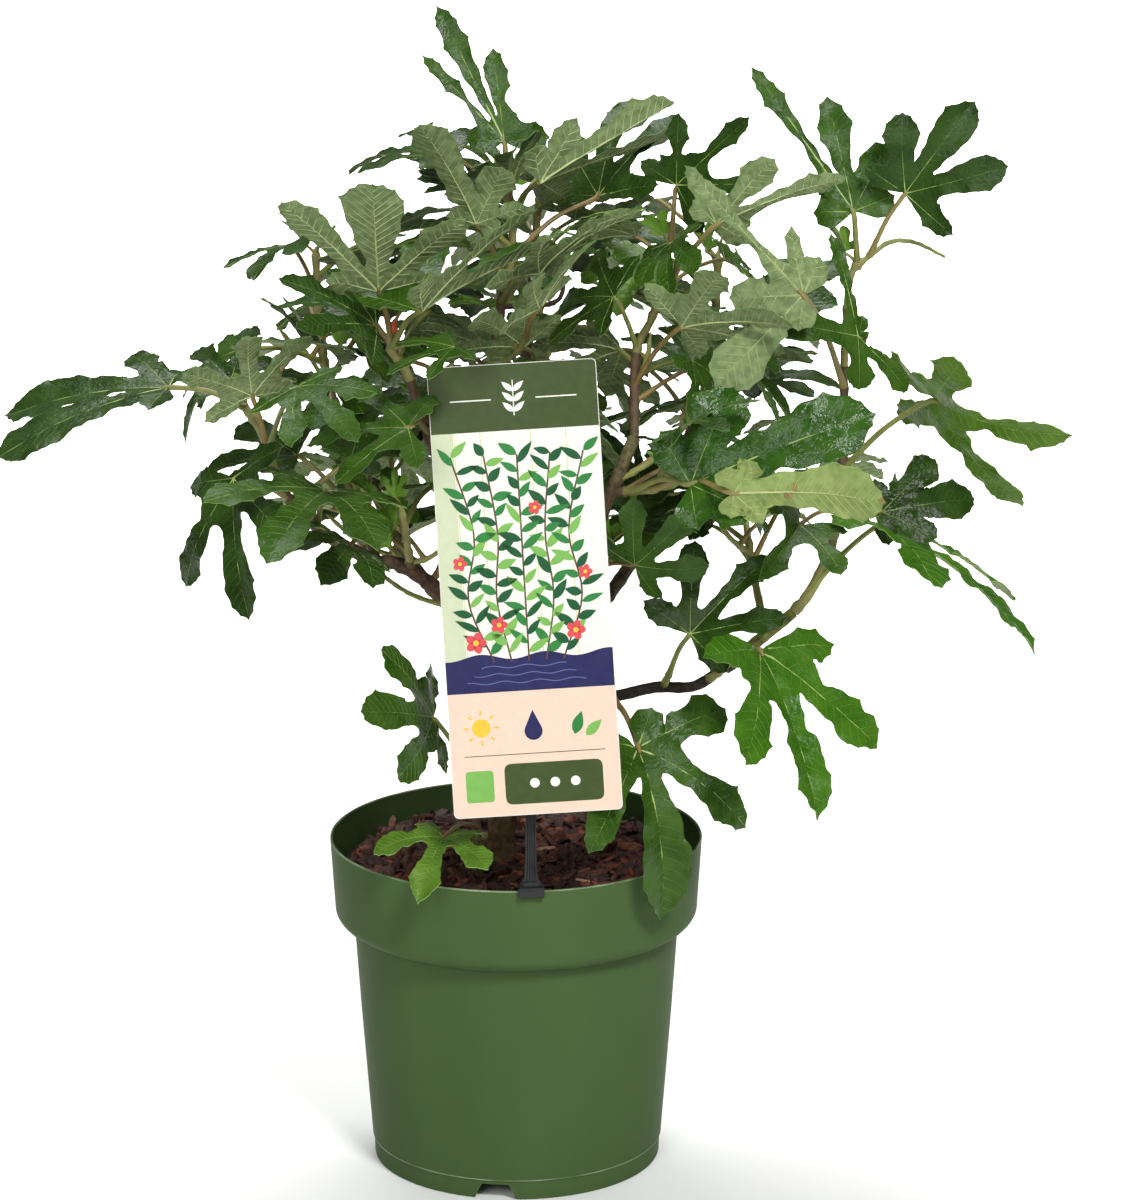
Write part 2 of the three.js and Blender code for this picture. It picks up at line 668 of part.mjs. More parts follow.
function massSolid(name, leaves) {
  const plan = MASSES[name];
  const shoot = shootCurve(plan);
  const budShare = 1 - BUD_LENGTH / shoot.getLength();
  const radiusAt = (share) => {
    const taper = share > budShare ? 1 - (0.75 * (share - budShare)) / (1 - budShare) : 1;
    return (plan.radius[0] + (plan.radius[1] - plan.radius[0]) * share) * taper;
  };
  const pieces = [tube(shoot, radiusAt, SHOOT_SIDES, 3 * plan.legs.length)];
  for (const each of leaves) pieces.push(...leafSolids(shoot, each));
  return wasm.Manifold.union(pieces);
}

// ---------------------------------------------------------------- label

function cardPlace() {
  const turn = new THREE.Euler(
    THREE.MathUtils.degToRad(-CARD.lean),
    THREE.MathUtils.degToRad(-CARD.tilt),
    0,
    'XYZ',
  );
  const place = new THREE.Matrix4().makeRotationFromEuler(turn);
  return place.setPosition(new THREE.Vector3(...CARD.centre));
}

function cardSolid() {
  const { width, height, corner, thickness } = CARD;
  const [right, top] = [width / 2, height / 2];
  const shape = new THREE.Shape();
  shape.moveTo(-right + corner, -top);
  shape.lineTo(right - corner, -top);
  shape.absarc(right - corner, -top + corner, corner, -Math.PI / 2, 0);
  shape.absarc(right - corner, top - corner, corner, 0, Math.PI / 2);
  shape.absarc(-right + corner, top - corner, corner, Math.PI / 2, Math.PI);
  shape.absarc(-right + corner, -top + corner, corner, Math.PI, 1.5 * Math.PI);
  const geometry = new THREE.ExtrudeGeometry(shape, { depth: thickness, bevelEnabled: false, curveSegments: 4 });
  geometry.translate(0, 0, -thickness / 2);
  geometry.rotateX(Math.PI / 2);
  geometry.applyMatrix4(cardPlace());
  return solidOf(geometry);
}

// The clip hooks over the rim; its own frame has -Y pointing out of the pot and the lip's middle at the origin.
function clipPlace() {
  const place = new THREE.Matrix4().makeRotationZ(THREE.MathUtils.degToRad(HOLDER.compass + 90));
  const middle = heading(HOLDER.compass, 0).multiplyScalar(POT.rimRadius - POT.lipWidth / 2);
  return place.setPosition(middle.setZ(POT.height));
}

function clipSolid() {
  const { width, leg, inner, wall, cap } = CLIP;
  const front = -POT.lipWidth / 2 - CLIP.outerPlay;
  const back = POT.lipWidth / 2 + CLIP.innerPlay;
  const shape = new THREE.Shape();
  shape.moveTo(front - wall, -leg);
  shape.lineTo(front, -leg);
  shape.lineTo(front, GAP);
  shape.lineTo(back, GAP);
  shape.lineTo(back, -inner);
  shape.lineTo(back + wall, -inner);
  shape.lineTo(back + wall, cap);
  shape.lineTo(front - wall, cap);
  shape.closePath();
  const geometry = new THREE.ExtrudeGeometry(shape, { depth: width, bevelEnabled: false });
  geometry.translate(0, 0, -width / 2);
  geometry.applyMatrix4(new THREE.Matrix4().makeBasis(
    new THREE.Vector3(0, 1, 0),
    new THREE.Vector3(0, 0, 1),
    new THREE.Vector3(1, 0, 0),
  ));
  geometry.applyMatrix4(clipPlace());
  return solidOf(geometry);
}

// A flat bar that stands on the clip and runs up behind the card, leaning as it does. Its lift
// keeps the slanted foot clear of the clip.
function holderSolid() {
  const { width, depth, length } = HOLDER;
  const lean = new THREE.Matrix4().makeRotationX(THREE.MathUtils.degToRad(-CARD.lean));
  const foot = heading(HOLDER.compass, 0).multiplyScalar(POT.rimRadius - POT.lipWidth / 2);
  const place = new THREE.Matrix4().makeTranslation(foot.x, foot.y, POT.height + CLIP.cap + HOLDER.lift);
  place.multiply(lean).multiply(new THREE.Matrix4().makeTranslation(0, 0, length / 2));
  return box(width, depth, length, place);
}

// ---------------------------------------------------------------- the assembly

const fig = new THREE.Group();

function add(name, solid, colour, roughness = 0.6) {
  const material = new THREE.MeshStandardMaterial({ color: colour, roughness, metalness: 0, side: THREE.FrontSide });
  const mesh = new THREE.Mesh(geometryOf(solid), material);
  mesh.name = name;
  fig.add(mesh);
}

add('pot', potSolid(), COLOURS.pot, 0.45);
add('potting_soil', soilSolid(), COLOURS.soil, 0.95);

// Each limb is cut clear of the ones before it, and each mass clear of every limb.
const fatLimbs = [];
for (const name of Object.keys(LIMBS)) {
  const whole = limbSolid(name, 0);
  add(name, largest(fatLimbs.reduce((rest, other) => rest.subtract(other), whole)), COLOURS.bark, 0.85);
  fatLimbs.push(limbSolid(name, GAP));
}

const leavesOf = growLeaves();
for (const name of Object.keys(MASSES)) {
  const whole = massSolid(name, leavesOf[name]);
  add(name, largest(fatLimbs.reduce((rest, other) => rest.subtract(other), whole)), COLOURS.foliage, 0.5);
}

add('label_card', cardSolid(), COLOURS.card, 0.4);
add('label_holder', holderSolid(), COLOURS.holder, 0.4);
add('label_clip', clipSolid(), COLOURS.holder, 0.4);

export default fig;
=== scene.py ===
"""The looks of a young fig tree in a green nursery pot, with its clip-on plant label.

Sizes are millimetres in the model's own frame: +Z is up, the origin is the middle of the pot's foot and
the label is on the -Y side. MM turns them into Blender's metres. A compass angle is seen from above,
0 along +X and 90 along +Y, and a rise is the angle above the horizontal.
"""

import json
import math

import bpy
import numpy as np
from mathutils import Euler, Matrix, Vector, noise
from mathutils.kdtree import KDTree
from mathutils.geometry import delaunay_2d_cdt

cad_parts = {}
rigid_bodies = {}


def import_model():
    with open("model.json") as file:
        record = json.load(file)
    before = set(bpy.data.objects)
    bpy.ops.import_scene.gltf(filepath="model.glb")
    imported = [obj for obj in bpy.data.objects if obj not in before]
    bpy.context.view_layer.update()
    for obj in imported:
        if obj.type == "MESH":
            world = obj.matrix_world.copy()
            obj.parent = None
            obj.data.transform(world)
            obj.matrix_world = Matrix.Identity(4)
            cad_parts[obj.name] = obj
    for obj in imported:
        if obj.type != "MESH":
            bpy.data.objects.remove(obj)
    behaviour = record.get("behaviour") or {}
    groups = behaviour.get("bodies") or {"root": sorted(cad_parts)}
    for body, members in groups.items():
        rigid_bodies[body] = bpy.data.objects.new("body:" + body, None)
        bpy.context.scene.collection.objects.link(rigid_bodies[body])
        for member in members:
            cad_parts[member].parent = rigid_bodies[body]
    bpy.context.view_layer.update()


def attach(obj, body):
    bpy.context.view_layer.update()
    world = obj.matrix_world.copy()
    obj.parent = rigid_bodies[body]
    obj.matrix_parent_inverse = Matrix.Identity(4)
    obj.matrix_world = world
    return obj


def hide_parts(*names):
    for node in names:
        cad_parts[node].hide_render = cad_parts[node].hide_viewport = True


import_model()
MM = 0.001

# ---------------------------------------------------------------- the plan that the solids follow

GAP = 0.3

POT = {
    "rim_radius": 105, "height": 188.6, "lip_width": 1.5, "wall": 1.8,
    "collar_foot_radius": 102.5, "collar_foot_height": 148, "neck_radius": 91.4,
    "step_radius": 82.6, "step_height": 12, "step_depth": 0.8, "foot_radius": 81.4,
    "pad_radius": 50, "channel_top": 7, "channel_inner": 53, "channel_outer": 77, "channel_slope": 2,
    "floor": 2.5, "sides": 192,
}
NOTCH = {
    "count": 3, "first": -98, "bottom_width": 25, "top_width": 15, "height": 10, "reach": 12, "corner": 2,
}
DRAIN = {"count": 6, "first": -68, "radius": 5, "circle": 65}
SOIL = {"top": 172, "edge_dip": 3, "crown": 1.5, "bowl": 55, "ridge": 84, "edge_gap": 3}

CARD = {
    "width": 91, "height": 243, "thickness": 0.9, "corner": 3.2, "centre": (6, -85.5, 353),
    "tilt": 3.5, "lean": 12.5,
}
HOLDER = {"compass": -85, "width": 6, "depth": 2.4, "length": 150, "lift": 0.9}
CLIP = {"width": 14, "leg": 3, "inner": 12, "wall": 2.2, "cap": 2.6, "outer_play": 1.2, "inner_play": 1.8}

FLARE_HEIGHT = 14
PETIOLE_ARCH = 0.08               # how far a petiole arches up, as a share of its length
BUD_LENGTH = 12

# Each lobe of a leaf: its angle off the midrib, its reach and half width as shares of the leaf's length.
LOBES = [(-100, 0.5, 0), (-42, 0.85, 0.16), (0, 1, 0.16), (42, 0.85, 0.16), (100, 0.5, 0)]
SINUS_REACH = 0.28

# Lobes of leaves that differ from the common form, for their meshes alone.
FORKED = [(-108, 0.3, 0), (-19, 0.62, 0.11), (0, 1, 0.075), (17, 0.78, 0.04), (60, 0.25, 0)]
TWO_LOBED = [(-60, 0.25, 0), (0, 1, 0.16), (46, 0.55, 0.17), (90, 0.42, 0.08), (130, 0.2, 0)]
SPLAYED = [(-110, 0.25, 0), (-92, 0.5, 0.12), (-27, 0.65, 0.17), (0, 1, 0.07), (60, 0.3, 0)]
BROAD_SIDED = [(-100, 0.25, 0), (-48, 0.4, 0.13), (0, 1, 0.17), (46, 0.55, 0.15), (98, 0.32, 0)]
TONGUE = [(-100, 0.2, 0), (-52, 0.28, 0.09), (0, 1, 0.2), (52, 0.28, 0.09), (100, 0.2, 0)]
MITTEN = [(-90, 0.35, 0), (-36, 0.62, 0.2), (0, 1, 0.3), (34, 0.8, 0.26), (90, 0.35, 0)]
TRAILING = [
    (-130, 0.2, 0), (-92, 0.72, 0.15), (-48, 0.42, 0.1), (0, 1, 0.055), (35, 0.4, 0.05), (70, 0.25, 0),
]
CROSSED = [
    (-100, 0.25, 0), (-69, 1.2, 0.09), (0, 1, 0.2), (95, 0.62, 0.22), (146, 0.9, 0.15), (174, 0.15, 0),
]
DRAPED = [
    (-100, 0.4, 0), (-42, 0.8, 0.1), (0, 1, 0.175), (42, 0.85, 0.11), (100, 0.62, 0.13), (145, 0.25, 0),
]
OUTSTRETCHED = [(-100, 0.2, 0), (-50, 0.48, 0.09), (0, 1, 0.17), (32, 1.06, 0.19), (80, 0.28, 0)]
TRIDENT = [(-80, 0.32, 0), (-35, 0.95, 0.11), (0, 1, 0.18), (40, 0.82, 0.12), (80, 0.32, 0)]
PRONGED = [(-100, 0.25, 0), (-58, 0.42, 0.12), (-19, 0.66, 0.1), (3, 1, 0.05), (60, 0.22, 0)]

LIMBS = {
    "trunk": {
        "foot": (-9, 2), "flare": 3, "radius": (8, 6),
        "legs": [(0, 90, 12), (20, 80, 30), (25, 83, 40), (40, 85, 42)],
    },
    "right_bough": {
        "parent": "trunk", "at": 0.64, "radius": (5, 4),
        "legs": [(-15, 25, 30), (-15, 15, 35), (-10, 15, 20), (-10, 5, 22), (-10, 35, 20)],
    },
    "right_bough_upper": {
        "parent": "right_bough", "at": 1, "radius": (3.9, 3.3),
        "legs": [(-5, 40, 25), (0, 40, 25)],
    },
    "left_bough": {
        "parent": "trunk", "at": 0.86, "radius": (5, 3.4),
        "legs": [
            (-150, 50, 45), (-155, 45, 35), (-160, 35, 25), (-160, 10, 12), (-165, 30, 20), (-165, 35, 18),
        ],
    },
    "centre_left_bough": {
        "parent": "trunk", "at": 0.97, "radius": (4.4, 3.2),
        "legs": [(-135, 65, 85), (-140, 60, 50)],
    },
    "centre_right_bough": {
        "parent": "trunk", "at": 0.93, "radius": (4.8, 3.4),
        "legs": [(-45, 55, 75), (-45, 60, 55), (20, 65, 15), (40, 60, 18)],
    },
    "back_left_bough": {
        "parent": "trunk", "at": 0.9, "radius": (4.4, 3.2),
        "legs": [(150, 35, 80), (145, 55, 70)],
    },
    "back_right_bough": {
        "parent": "trunk", "at": 0.84, "radius": (4.4, 3.2),
        "legs": [(35, 35, 85), (40, 55, 70)],
    },
    "centre_bough": {
        "parent": "trunk", "at": 1, "radius": (4.6, 3),
        "legs": [(-140, 87, 80), (-140, 80, 60), (-105, 78, 40)],
    },
    "back_bough": {
        "parent": "centre_bough", "at": 0.2, "radius": (4, 3),
        "legs": [(90, 40, 75), (85, 60, 70)],
    },
    "sucker": {
        "foot": (-21, -38), "flare": 0.5, "radius": (3, 2.6),
        "legs": [(100, 90, 8), (100, 82, 22)],
    },
}


def leaf(at, petiole, blade, roll, tone="mid", **form):
    """A leaf's plan. look holds what differs in its mesh from the leaf of the solids."""
    return {
        "at": at, "petiole": petiole, "blade": blade, "roll": roll, "tone": tone,
        "spread": 1, "fold": 10, "droop": 25, "bias": 0, "broad": None, "look": {}, **form,
    }


MASSES = {
    "left_foliage": {
        "limb": "left_bough", "at": 1, "radius": (3, 2), "fill": 4, "seed": 11,
        "legs": [(-165, 45, 20), (-170, 65, 25), (165, 70, 20), (165, 55, 18)],
        "leaves": [
            leaf(0.02, (-80, 35, 55), (-105, 5, 90), -10, droop=35),
            leaf(0.3, (-135, 25, 50), (-90, -45, 75), 65, "dark", droop=40, broad=0.9,
                 look={"petiole": (-140, 25, 40), "blade": (-95, -50, 80), "roll": 40, "droop": 30}),
            leaf(0.65, (-130, 70, 35), (-95, 55, 60), 25, spread=1.1),
            leaf(0.97, (165, 10, 45), (170, -5, 90), -20, "dark", spread=0.7, droop=25, bias=0.25, broad=1,
                 look={"petiole": (165, 12, 45), "blade": (170, -1, 98), "web": 0.8,
                       "lobes": OUTSTRETCHED}),
        ],
    },
    "left_inner_foliage": {
        "limb": "left_bough", "at": 0.62, "radius": (2.4, 1.8), "fill": 5, "seed": 23,
        "legs": [(-95, 50, 20), (-105, 65, 30)],
        "leaves": [],
    },
    "left_back_foliage": {
        "limb": "left_bough", "at": 0.75, "radius": (2.4, 1.8), "fill": 7, "seed": 27,
        "legs": [(120, 45, 45), (110, 65, 40)],
        "leaves": [],
    },
    "centre_left_foliage": {
        "limb": "centre_left_bough", "at": 1, "radius": (3, 2), "fill": 5, "seed": 31,
        "legs": [(-150, 70, 35), (-165, 70, 22), (-160, 55, 12), (-60, 80, 18)],
        "leaves": [
            leaf(0.2, (-100, 15, 55), (170, 0, 60), -35, spread=1.1, fold=5, droop=30),
            leaf(0.56, (180, 60, 35), (-145, 35, 65), -45, "dark", spread=0.75, droop=15, bias=0.25),
            leaf(0.8, (-65, 35, 50), (35, 25, 90), -15, spread=1.05, fold=30, droop=15, bias=-0.1),
            leaf(0.8, (-50, 10, 55), (-155, -5, 40), -15),
            leaf(0.86, (-110, 60, 35), (-90, 50, 90), 0, spread=0.8, droop=5, bias=-0.1, broad=1.45,
                 look={"web": 0.85, "lobes": TRIDENT}),
        ],
    },
    "centre_foliage": {
        "limb": "centre_bough", "at": 1, "radius": (2.8, 1.8), "fill": 5, "seed": 41,
        "legs": [(35, 80, 20), (35, 75, 30), (120, 85, 20), (180, 85, 15)],
        "leaves": [
            leaf(0.25, (-70, 25, 65), (-35, 45, 80), 0),
            leaf(0.35, (-115, 35, 55), (-155, 70, 70), 30, spread=0.85, bias=-0.15,
                 look={"petiole": (-110, 45, 60), "blade": (-155, 65, 70), "roll": 50, "lobes": TWO_LOBED}),
            leaf(0.55, (25, 30, 60), (75, 55, 70), -15, "dark", spread=0.85, bias=-0.1),
            leaf(0.8, (-65, 35, 45), (15, 30, 85), -50, spread=0.75, fold=20, droop=5, bias=0.45),
            leaf(1, (180, 75, 20), (130, 55, 90), 25, spread=0.8, fold=5, droop=10, bias=-0.1,
                 look={"petiole": (180, 85, 25), "blade": (150, 60, 85), "roll": -50, "web": 0.6,
                       "lobes": FORKED}),
        ],
    },
    "centre_right_foliage": {
        "limb": "centre_right_bough", "at": 1, "radius": (2.8, 1.8), "fill": 5, "seed": 53,
        "legs": [(85, 65, 50), (50, 50, 20), (65, 60, 25), (40, 70, 20)],
        "leaves": [
            leaf(0.25, (-50, 45, 55), (-25, 15, 70), -45, fold=15),
            leaf(0.43, (-125, 55, 40), (135, -5, 55), -50, "dark"),
            leaf(0.62, (-20, 50, 40), (20, 30, 80), 20, spread=0.9, fold=15, droop=20,
                 look={"petiole": (-25, 55, 65), "blade": (5, 25, 75), "roll": -75, "web": 0.7,
                       "lobes": SPLAYED}),
            leaf(1, (0, 75, 15), (-15, 45, 50), 55, "fresh", fold=30, bias=-0.15,
                 look={"petiole": (0, 85, 30), "blade": (-5, 45, 55), "roll": 80, "tone": "dark",
                       "broad": 0.6}),
        ],
    },
    "front_right_foliage": {
        "limb": "centre_right_bough", "at": 0.8, "radius": (2.6, 1.8), "fill": 4, "seed": 61,
        "legs": [(-30, 10, 22), (-15, 15, 20)],
        "leaves": [
            leaf(0.35, (-60, 10, 75), (0, 50, 100), 0, "bright", spread=1.3, fold=20, droop=40, broad=1.5,
                 look={"petiole": (-60, 15, 60), "blade": (-5, 25, 105), "roll": 60, "droop": 12, "fold": 8,
                       "tone": "glossy", "lobes": BROAD_SIDED}),
            leaf(0.6, (-55, 0, 95), (25, 10, 85), -55, "fresh", broad=1.4,
                 look={"petiole": (-60, 10, 85), "blade": (-5, 5, 82), "roll": -75, "lobes": TONGUE,
                       "scorched": True}),
        ],
    },
    "low_right_foliage": {
        "limb": "centre_right_bough", "at": 0.45, "radius": (2.4, 1.8), "fill": 4, "seed": 67,
        "legs": [(-40, 15, 15), (-30, 30, 20)],
        "leaves": [
            leaf(0.5, (-35, 10, 25), (-40, 40, 50), 115),
        ],
    },
    "right_foliage": {
        "limb": "right_bough_upper", "at": 1, "radius": (3.1, 1.8), "fill": 4, "seed": 71,
        "legs": [(15, 50, 15), (20, 65, 30), (45, 80, 45), (85, 85, 65), (65, 75, 40), (15, 40, 12)],
        "leaves": [
            leaf(0.02, (5, 45, 65), (-20, -20, 110), -10, "bright", spread=1.15, fold=5, droop=30,
                 bias=0.2),
            leaf(0.25, (45, 10, 35), (20, 15, 65), 25,
                 look={"petiole": (-25, 25, 30), "blade": (5, 10, 55), "roll": 65, "tone": "dark",
                       "web": 1.9, "lobes": MITTEN}),
            leaf(0.3, (-125, 0, 40), (-110, -15, 50), -45, spread=1.15, fold=35),
            leaf(0.41, (-15, 40, 65), (-45, -15, 85), 125, spread=1.35, bias=-0.15,
                 look={"tone": "fresh", "broad": 0.8}),
            leaf(0.63, (-110, 35, 90), (145, 20, 95), 145, spread=1.1, fold=50, droop=55, bias=0.3,
                 broad=0.6,
                 look={"petiole": (-115, 45, 88), "blade": (170, 45, 95), "roll": 115, "fold": 15,
                       "droop": 15, "tone": "bright", "web": 0.7, "lobes": TRAILING}),
            leaf(0.84, (-95, -15, 45), (-140, 45, 75), -145, "dark", spread=0.7, fold=30, droop=30,
                 bias=-0.2, broad=0.75,
                 look={"petiole": (-85, -10, 42), "blade": (-155, 15, 48), "roll": -70, "fold": 8,
                       "droop": 12, "tone": "mid", "web": 0.9, "lobes": CROSSED}),
            leaf(0.96, (180, 75, 30), (135, 30, 135), -105, "dark", fold=5, droop=35, bias=0.4, broad=0.5,
                 look={"petiole": (180, 85, 30), "blade": (155, 55, 100), "roll": -60, "droop": 10,
                       "tone": "mid", "web": 0.6, "lobes": PRONGED}),
            leaf(1, (-30, 65, 45), (-75, 5, 90), 70, "dark", spread=1.4, fold=30, droop=45, bias=-0.15,
                 look={"petiole": (-30, 60, 42), "blade": (-25, 55, 62), "roll": 95, "spread": 0.9,
                       "droop": 20, "fold": 15}),
        ],
    },
    "right_back_foliage": {
        "limb": "right_bough_upper", "at": 0.6, "radius": (2.4, 1.8), "fill": 7, "seed": 79,
        "legs": [(100, 40, 45), (105, 60, 45)],
        "leaves": [],
    },
    "right_front_spur_foliage": {
        "limb": "right_bough", "at": 0.47, "radius": (2.2, 1.8), "fill": 0, "seed": 83,
        "legs": [(-85, 5, 14)],
        "leaves": [
            leaf(0.9, (-75, -15, 50), (-60, -50, 95), 5, "dark", fold=25, droop=55, bias=-0.1,
                 look={"tone": "mid", "web": 0.8, "lobes": DRAPED}),
        ],
    },
    "right_inner_spur_foliage": {
        "limb": "right_bough", "at": 0.7, "radius": (2.2, 1.8), "fill": 0, "seed": 87,
        "legs": [(-70, 45, 14)],
        "leaves": [
            leaf(0.9, (-70, 45, 45), (20, 45, 65), 45, "dark", spread=0.95, fold=15),
        ],
    },
    "right_bend_spur_foliage": {
        "limb": "right_bough", "at": 0.9, "radius": (2.2, 1.8), "fill": 0, "seed": 89,
        "legs": [(-55, 30, 14)],
        "leaves": [
            leaf(0.9, (-55, 30, 45), (-55, -45, 100), -10, "bright", spread=0.85, fold=15, droop=20,
                 broad=0.8),
        ],
    },
    "sucker_foliage": {
        "limb": "sucker", "at": 1, "radius": (2.4, 1.6), "fill": 0, "seed": 97,
        "legs": [(110, 85, 28)],
        "leaves": [
            leaf(0.05, (-110, 10, 50), (-105, -5, 50), -5, "fresh", spread=1.25, fold=15, droop=40),
            leaf(0.85, (-155, 60, 50), (-115, 20, 60), -55, "fresh", fold=5, droop=20,
                 look={"tone": "mid", "broad": 1.05, "roll": -72, "blade": (-115, 20, 64)}),
        ],
    },
    "back_left_foliage": {
        "limb": "back_left_bough", "at": 1, "radius": (3, 2), "fill": 10, "seed": 101,
        "legs": [(140, 60, 50), (120, 75, 50), (100, 80, 30)],
        "leaves": [],
    },
    "back_foliage": {
        "limb": "back_bough", "at": 1, "radius": (3, 2), "fill": 10, "seed": 107,
        "legs": [(80, 65, 50), (70, 75, 50)],
        "leaves": [],
    },
    "back_right_foliage": {
        "limb": "back_right_bough", "at": 1, "radius": (3, 2), "fill": 10, "seed": 113,
        "legs": [(45, 60, 50), (60, 75, 50), (80, 80, 30)],
        "leaves": [],
    },
    "back_low_foliage": {
        "limb": "back_bough", "at": 0.3, "radius": (2.4, 1.8), "fill": 6, "seed": 127,
        "legs": [(100, 15, 45), (95, 35, 30)],
        "leaves": [],
    },
}

FILL = {
    "tries": 120, "turn": 137.5, "clear": 7, "first": 0.08,
    "jitter": (-30, 30), "petiole_rise": (10, 55), "petiole_length": (35, 70), "sag": (10, 50),
    "length": (50, 80), "roll": (-25, 25), "spread": (0.8, 1.05), "fold": (5, 25), "droop": (15, 45),
    "bias": (-0.12, 0.12),
}
CROWN = {"centre": (20, 25, 420), "radii": (255, 255, 200), "power": 1.4, "floor": 350}
CARD_CLEARANCE = 15

# ---------------------------------------------------------------- what only the fine growth has

# Side twigs of the shoots, and the smaller leaves that they carry by the same rule.
TWIG = {
    "every": 38, "first": 0.25, "last": 0.95, "rise": (30, 55), "length": (16, 28), "radius": (1.7, 1.2),
    "leaves": 3, "bend": 20,
}
# Where each row of random draws starts. A leaf's own row starts at LEAF_SEED and its number.
FINE_SEED = 500
LEAF_SEED = 1000
SHOOT_SEED = 77
STUB_SEED = 5
CHIP_SEED = 7
VINE_SEED = 21
VIEW = (27.3, -2442, 958.5)      # where the plant is looked at from in front
# Gaps that stay open there, as circles in the plane of the trunk: X and Z of the middle, and the radius.
SKY = [
    ((-155, 512), 32), ((-122, 548), 22), ((-70, 602), 24), ((-168, 425), 14),
    ((167, 518), 26), ((152, 572), 22), ((222, 512), 28), ((112, 600), 16),
]
# Short twigs along the outer part of each bough, where the solids' masses have only their shoots.
BOUGH_TWIG = {
    **TWIG, "every": 11, "first": 0.3, "last": 0.97, "rise": (5, 60), "length": (14, 34),
    "radius": (1.9, 1.3), "leaves": 4,
}
BARE = ("right_bough", "left_foliage", "right_foliage")     # these have only what is placed on them
# The youngest leaves, beside each shoot's tip.
TIP = {
    "leaves": 2, "at": 0.96, "rise": (35, 75), "petiole": (7, 14), "length": (16, 28), "fold": 35,
    "spread": 0.7, "clear": 1.5,
}
FINE = {
    **FILL, "tries": 80, "clear": 4.2, "petiole_length": (14, 36), "length": (46, 82), "spread": (0.7, 1.0),
    "sag": (-10, 95), "roll": (-55, 55), "droop": (15, 60), "open": SKY,
}
BOUGH_FINE = {
    **FINE, "tries": 120, "clear": 3.6, "petiole_length": (16, 48), "length": (46, 86), "sag": (-20, 90),
}
TONES = ["dark", "mid", "dark", "mid", "fresh", "dark", "mid"]

# ---------------------------------------------------------------- small helpers


def heading(compass, rise):
    c, r = math.radians(compass), math.radians(rise)
    return np.array([math.cos(r) * math.cos(c), math.cos(r) * math.sin(c), math.sin(r)])


def ease(value, low, high):
    """0 below low, 1 above high and smooth between."""
    t = np.clip((np.asarray(value, float) - low) / (high - low), 0, 1)
    return t * t * (3 - 2 * t)


def linear(colour):
    """A screen colour, 0 to 255, as the linear values that Blender works in."""
    shares = [c / 255 for c in colour]
    return tuple(c / 12.92 if c < 0.04045 else ((c + 0.055) / 1.055) ** 2.4 for c in shares)


def seeded(seed):
    """The small random source that the solids' rule draws from."""
    mask = 0xFFFFFFFF
    state = seed

    def draw(span):
        nonlocal state
        state = (state + 0x6D2B79F5) & mask
        t = ((state ^ (state >> 15)) * (1 | state)) & mask
        t = ((t + (((t ^ (t >> 7)) * (61 | t)) & mask)) & mask) ^ t
        t ^= t >> 14
        return span[0] + (span[1] - span[0]) * t / 4294967296

    return draw


class Curve:
    """A centripetal Catmull-Rom curve through points in a plane or in space, read by its length."""

    STEPS = 200

    def __init__(self, points):
        points = np.array(points, float)
        self.spans = len(points) - 1
        self.knots = np.vstack([2 * points[0] - points[1], points, 2 * points[-1] - points[-2]])
        self.shares = np.linspace(0, 1, self.STEPS + 1)
        grid = self.at(self.shares)
        steps = np.linalg.norm(np.diff(grid, axis=0), axis=1)
        self.lengths = np.concatenate([[0], np.cumsum(steps)])
        self.length = self.lengths[-1]

    def at(self, t):
        place = np.asarray(t, float) * self.spans
        i = np.minimum(place.astype(int), self.spans - 1)
        w = (place - i)[:, None]
        p0, p1, p2, p3 = (self.knots[i + k] for k in range(4))
        pairs = ((p0, p1), (p1, p2), (p2, p3))
        d0, d1, d2 = (np.sum((b - a) ** 2, axis=1)[:, None] ** 0.25 for a, b in pairs)
        t1 = ((p1 - p0) / d0 - (p2 - p0) / (d0 + d1) + (p2 - p1) / d1) * d1
        t2 = ((p2 - p1) / d1 - (p3 - p1) / (d1 + d2) + (p3 - p2) / d2) * d1
        return p1 + w * (t1 + w * (3 * (p2 - p1) - 2 * t1 - t2 + w * (2 * (p1 - p2) + t1 + t2)))

    def along(self, shares):
        return self.at(np.interp(np.asarray(shares, float) * self.length, self.lengths, self.shares))

    def point(self, share):
        return self.along([share])[0]

    def spaced(self, spacing, fewest=2):
        return self.along(np.linspace(0, 1, max(fewest, round(self.length / spacing)) + 1))


class Shape:
    """Points in millimetres, faces, material numbers and tints, gathered until they become one piece."""

    def __init__(self):
        self.points, self.faces, self.inks, self.tints = [], [], [], []
        self.size = 0
        self.triangles = 0

    def add(self, points, faces, inks=0, tint=None):
        """faces is groups of rows with as many corners each, and inks is one number, or one a group."""
        self.points.append(np.asarray(points, float))
        for i, group in enumerate(faces):
            rows = np.asarray(group) + self.size
            self.faces.extend(rows.tolist())
            self.inks.extend([inks if isinstance(inks, int) else inks[i]] * len(rows))
            self.triangles += len(rows) * (rows.shape[1] - 2)
        if tint is not None:
            self.tints.append(np.broadcast_to(tint, (len(points), 3)))
        self.size += len(points)


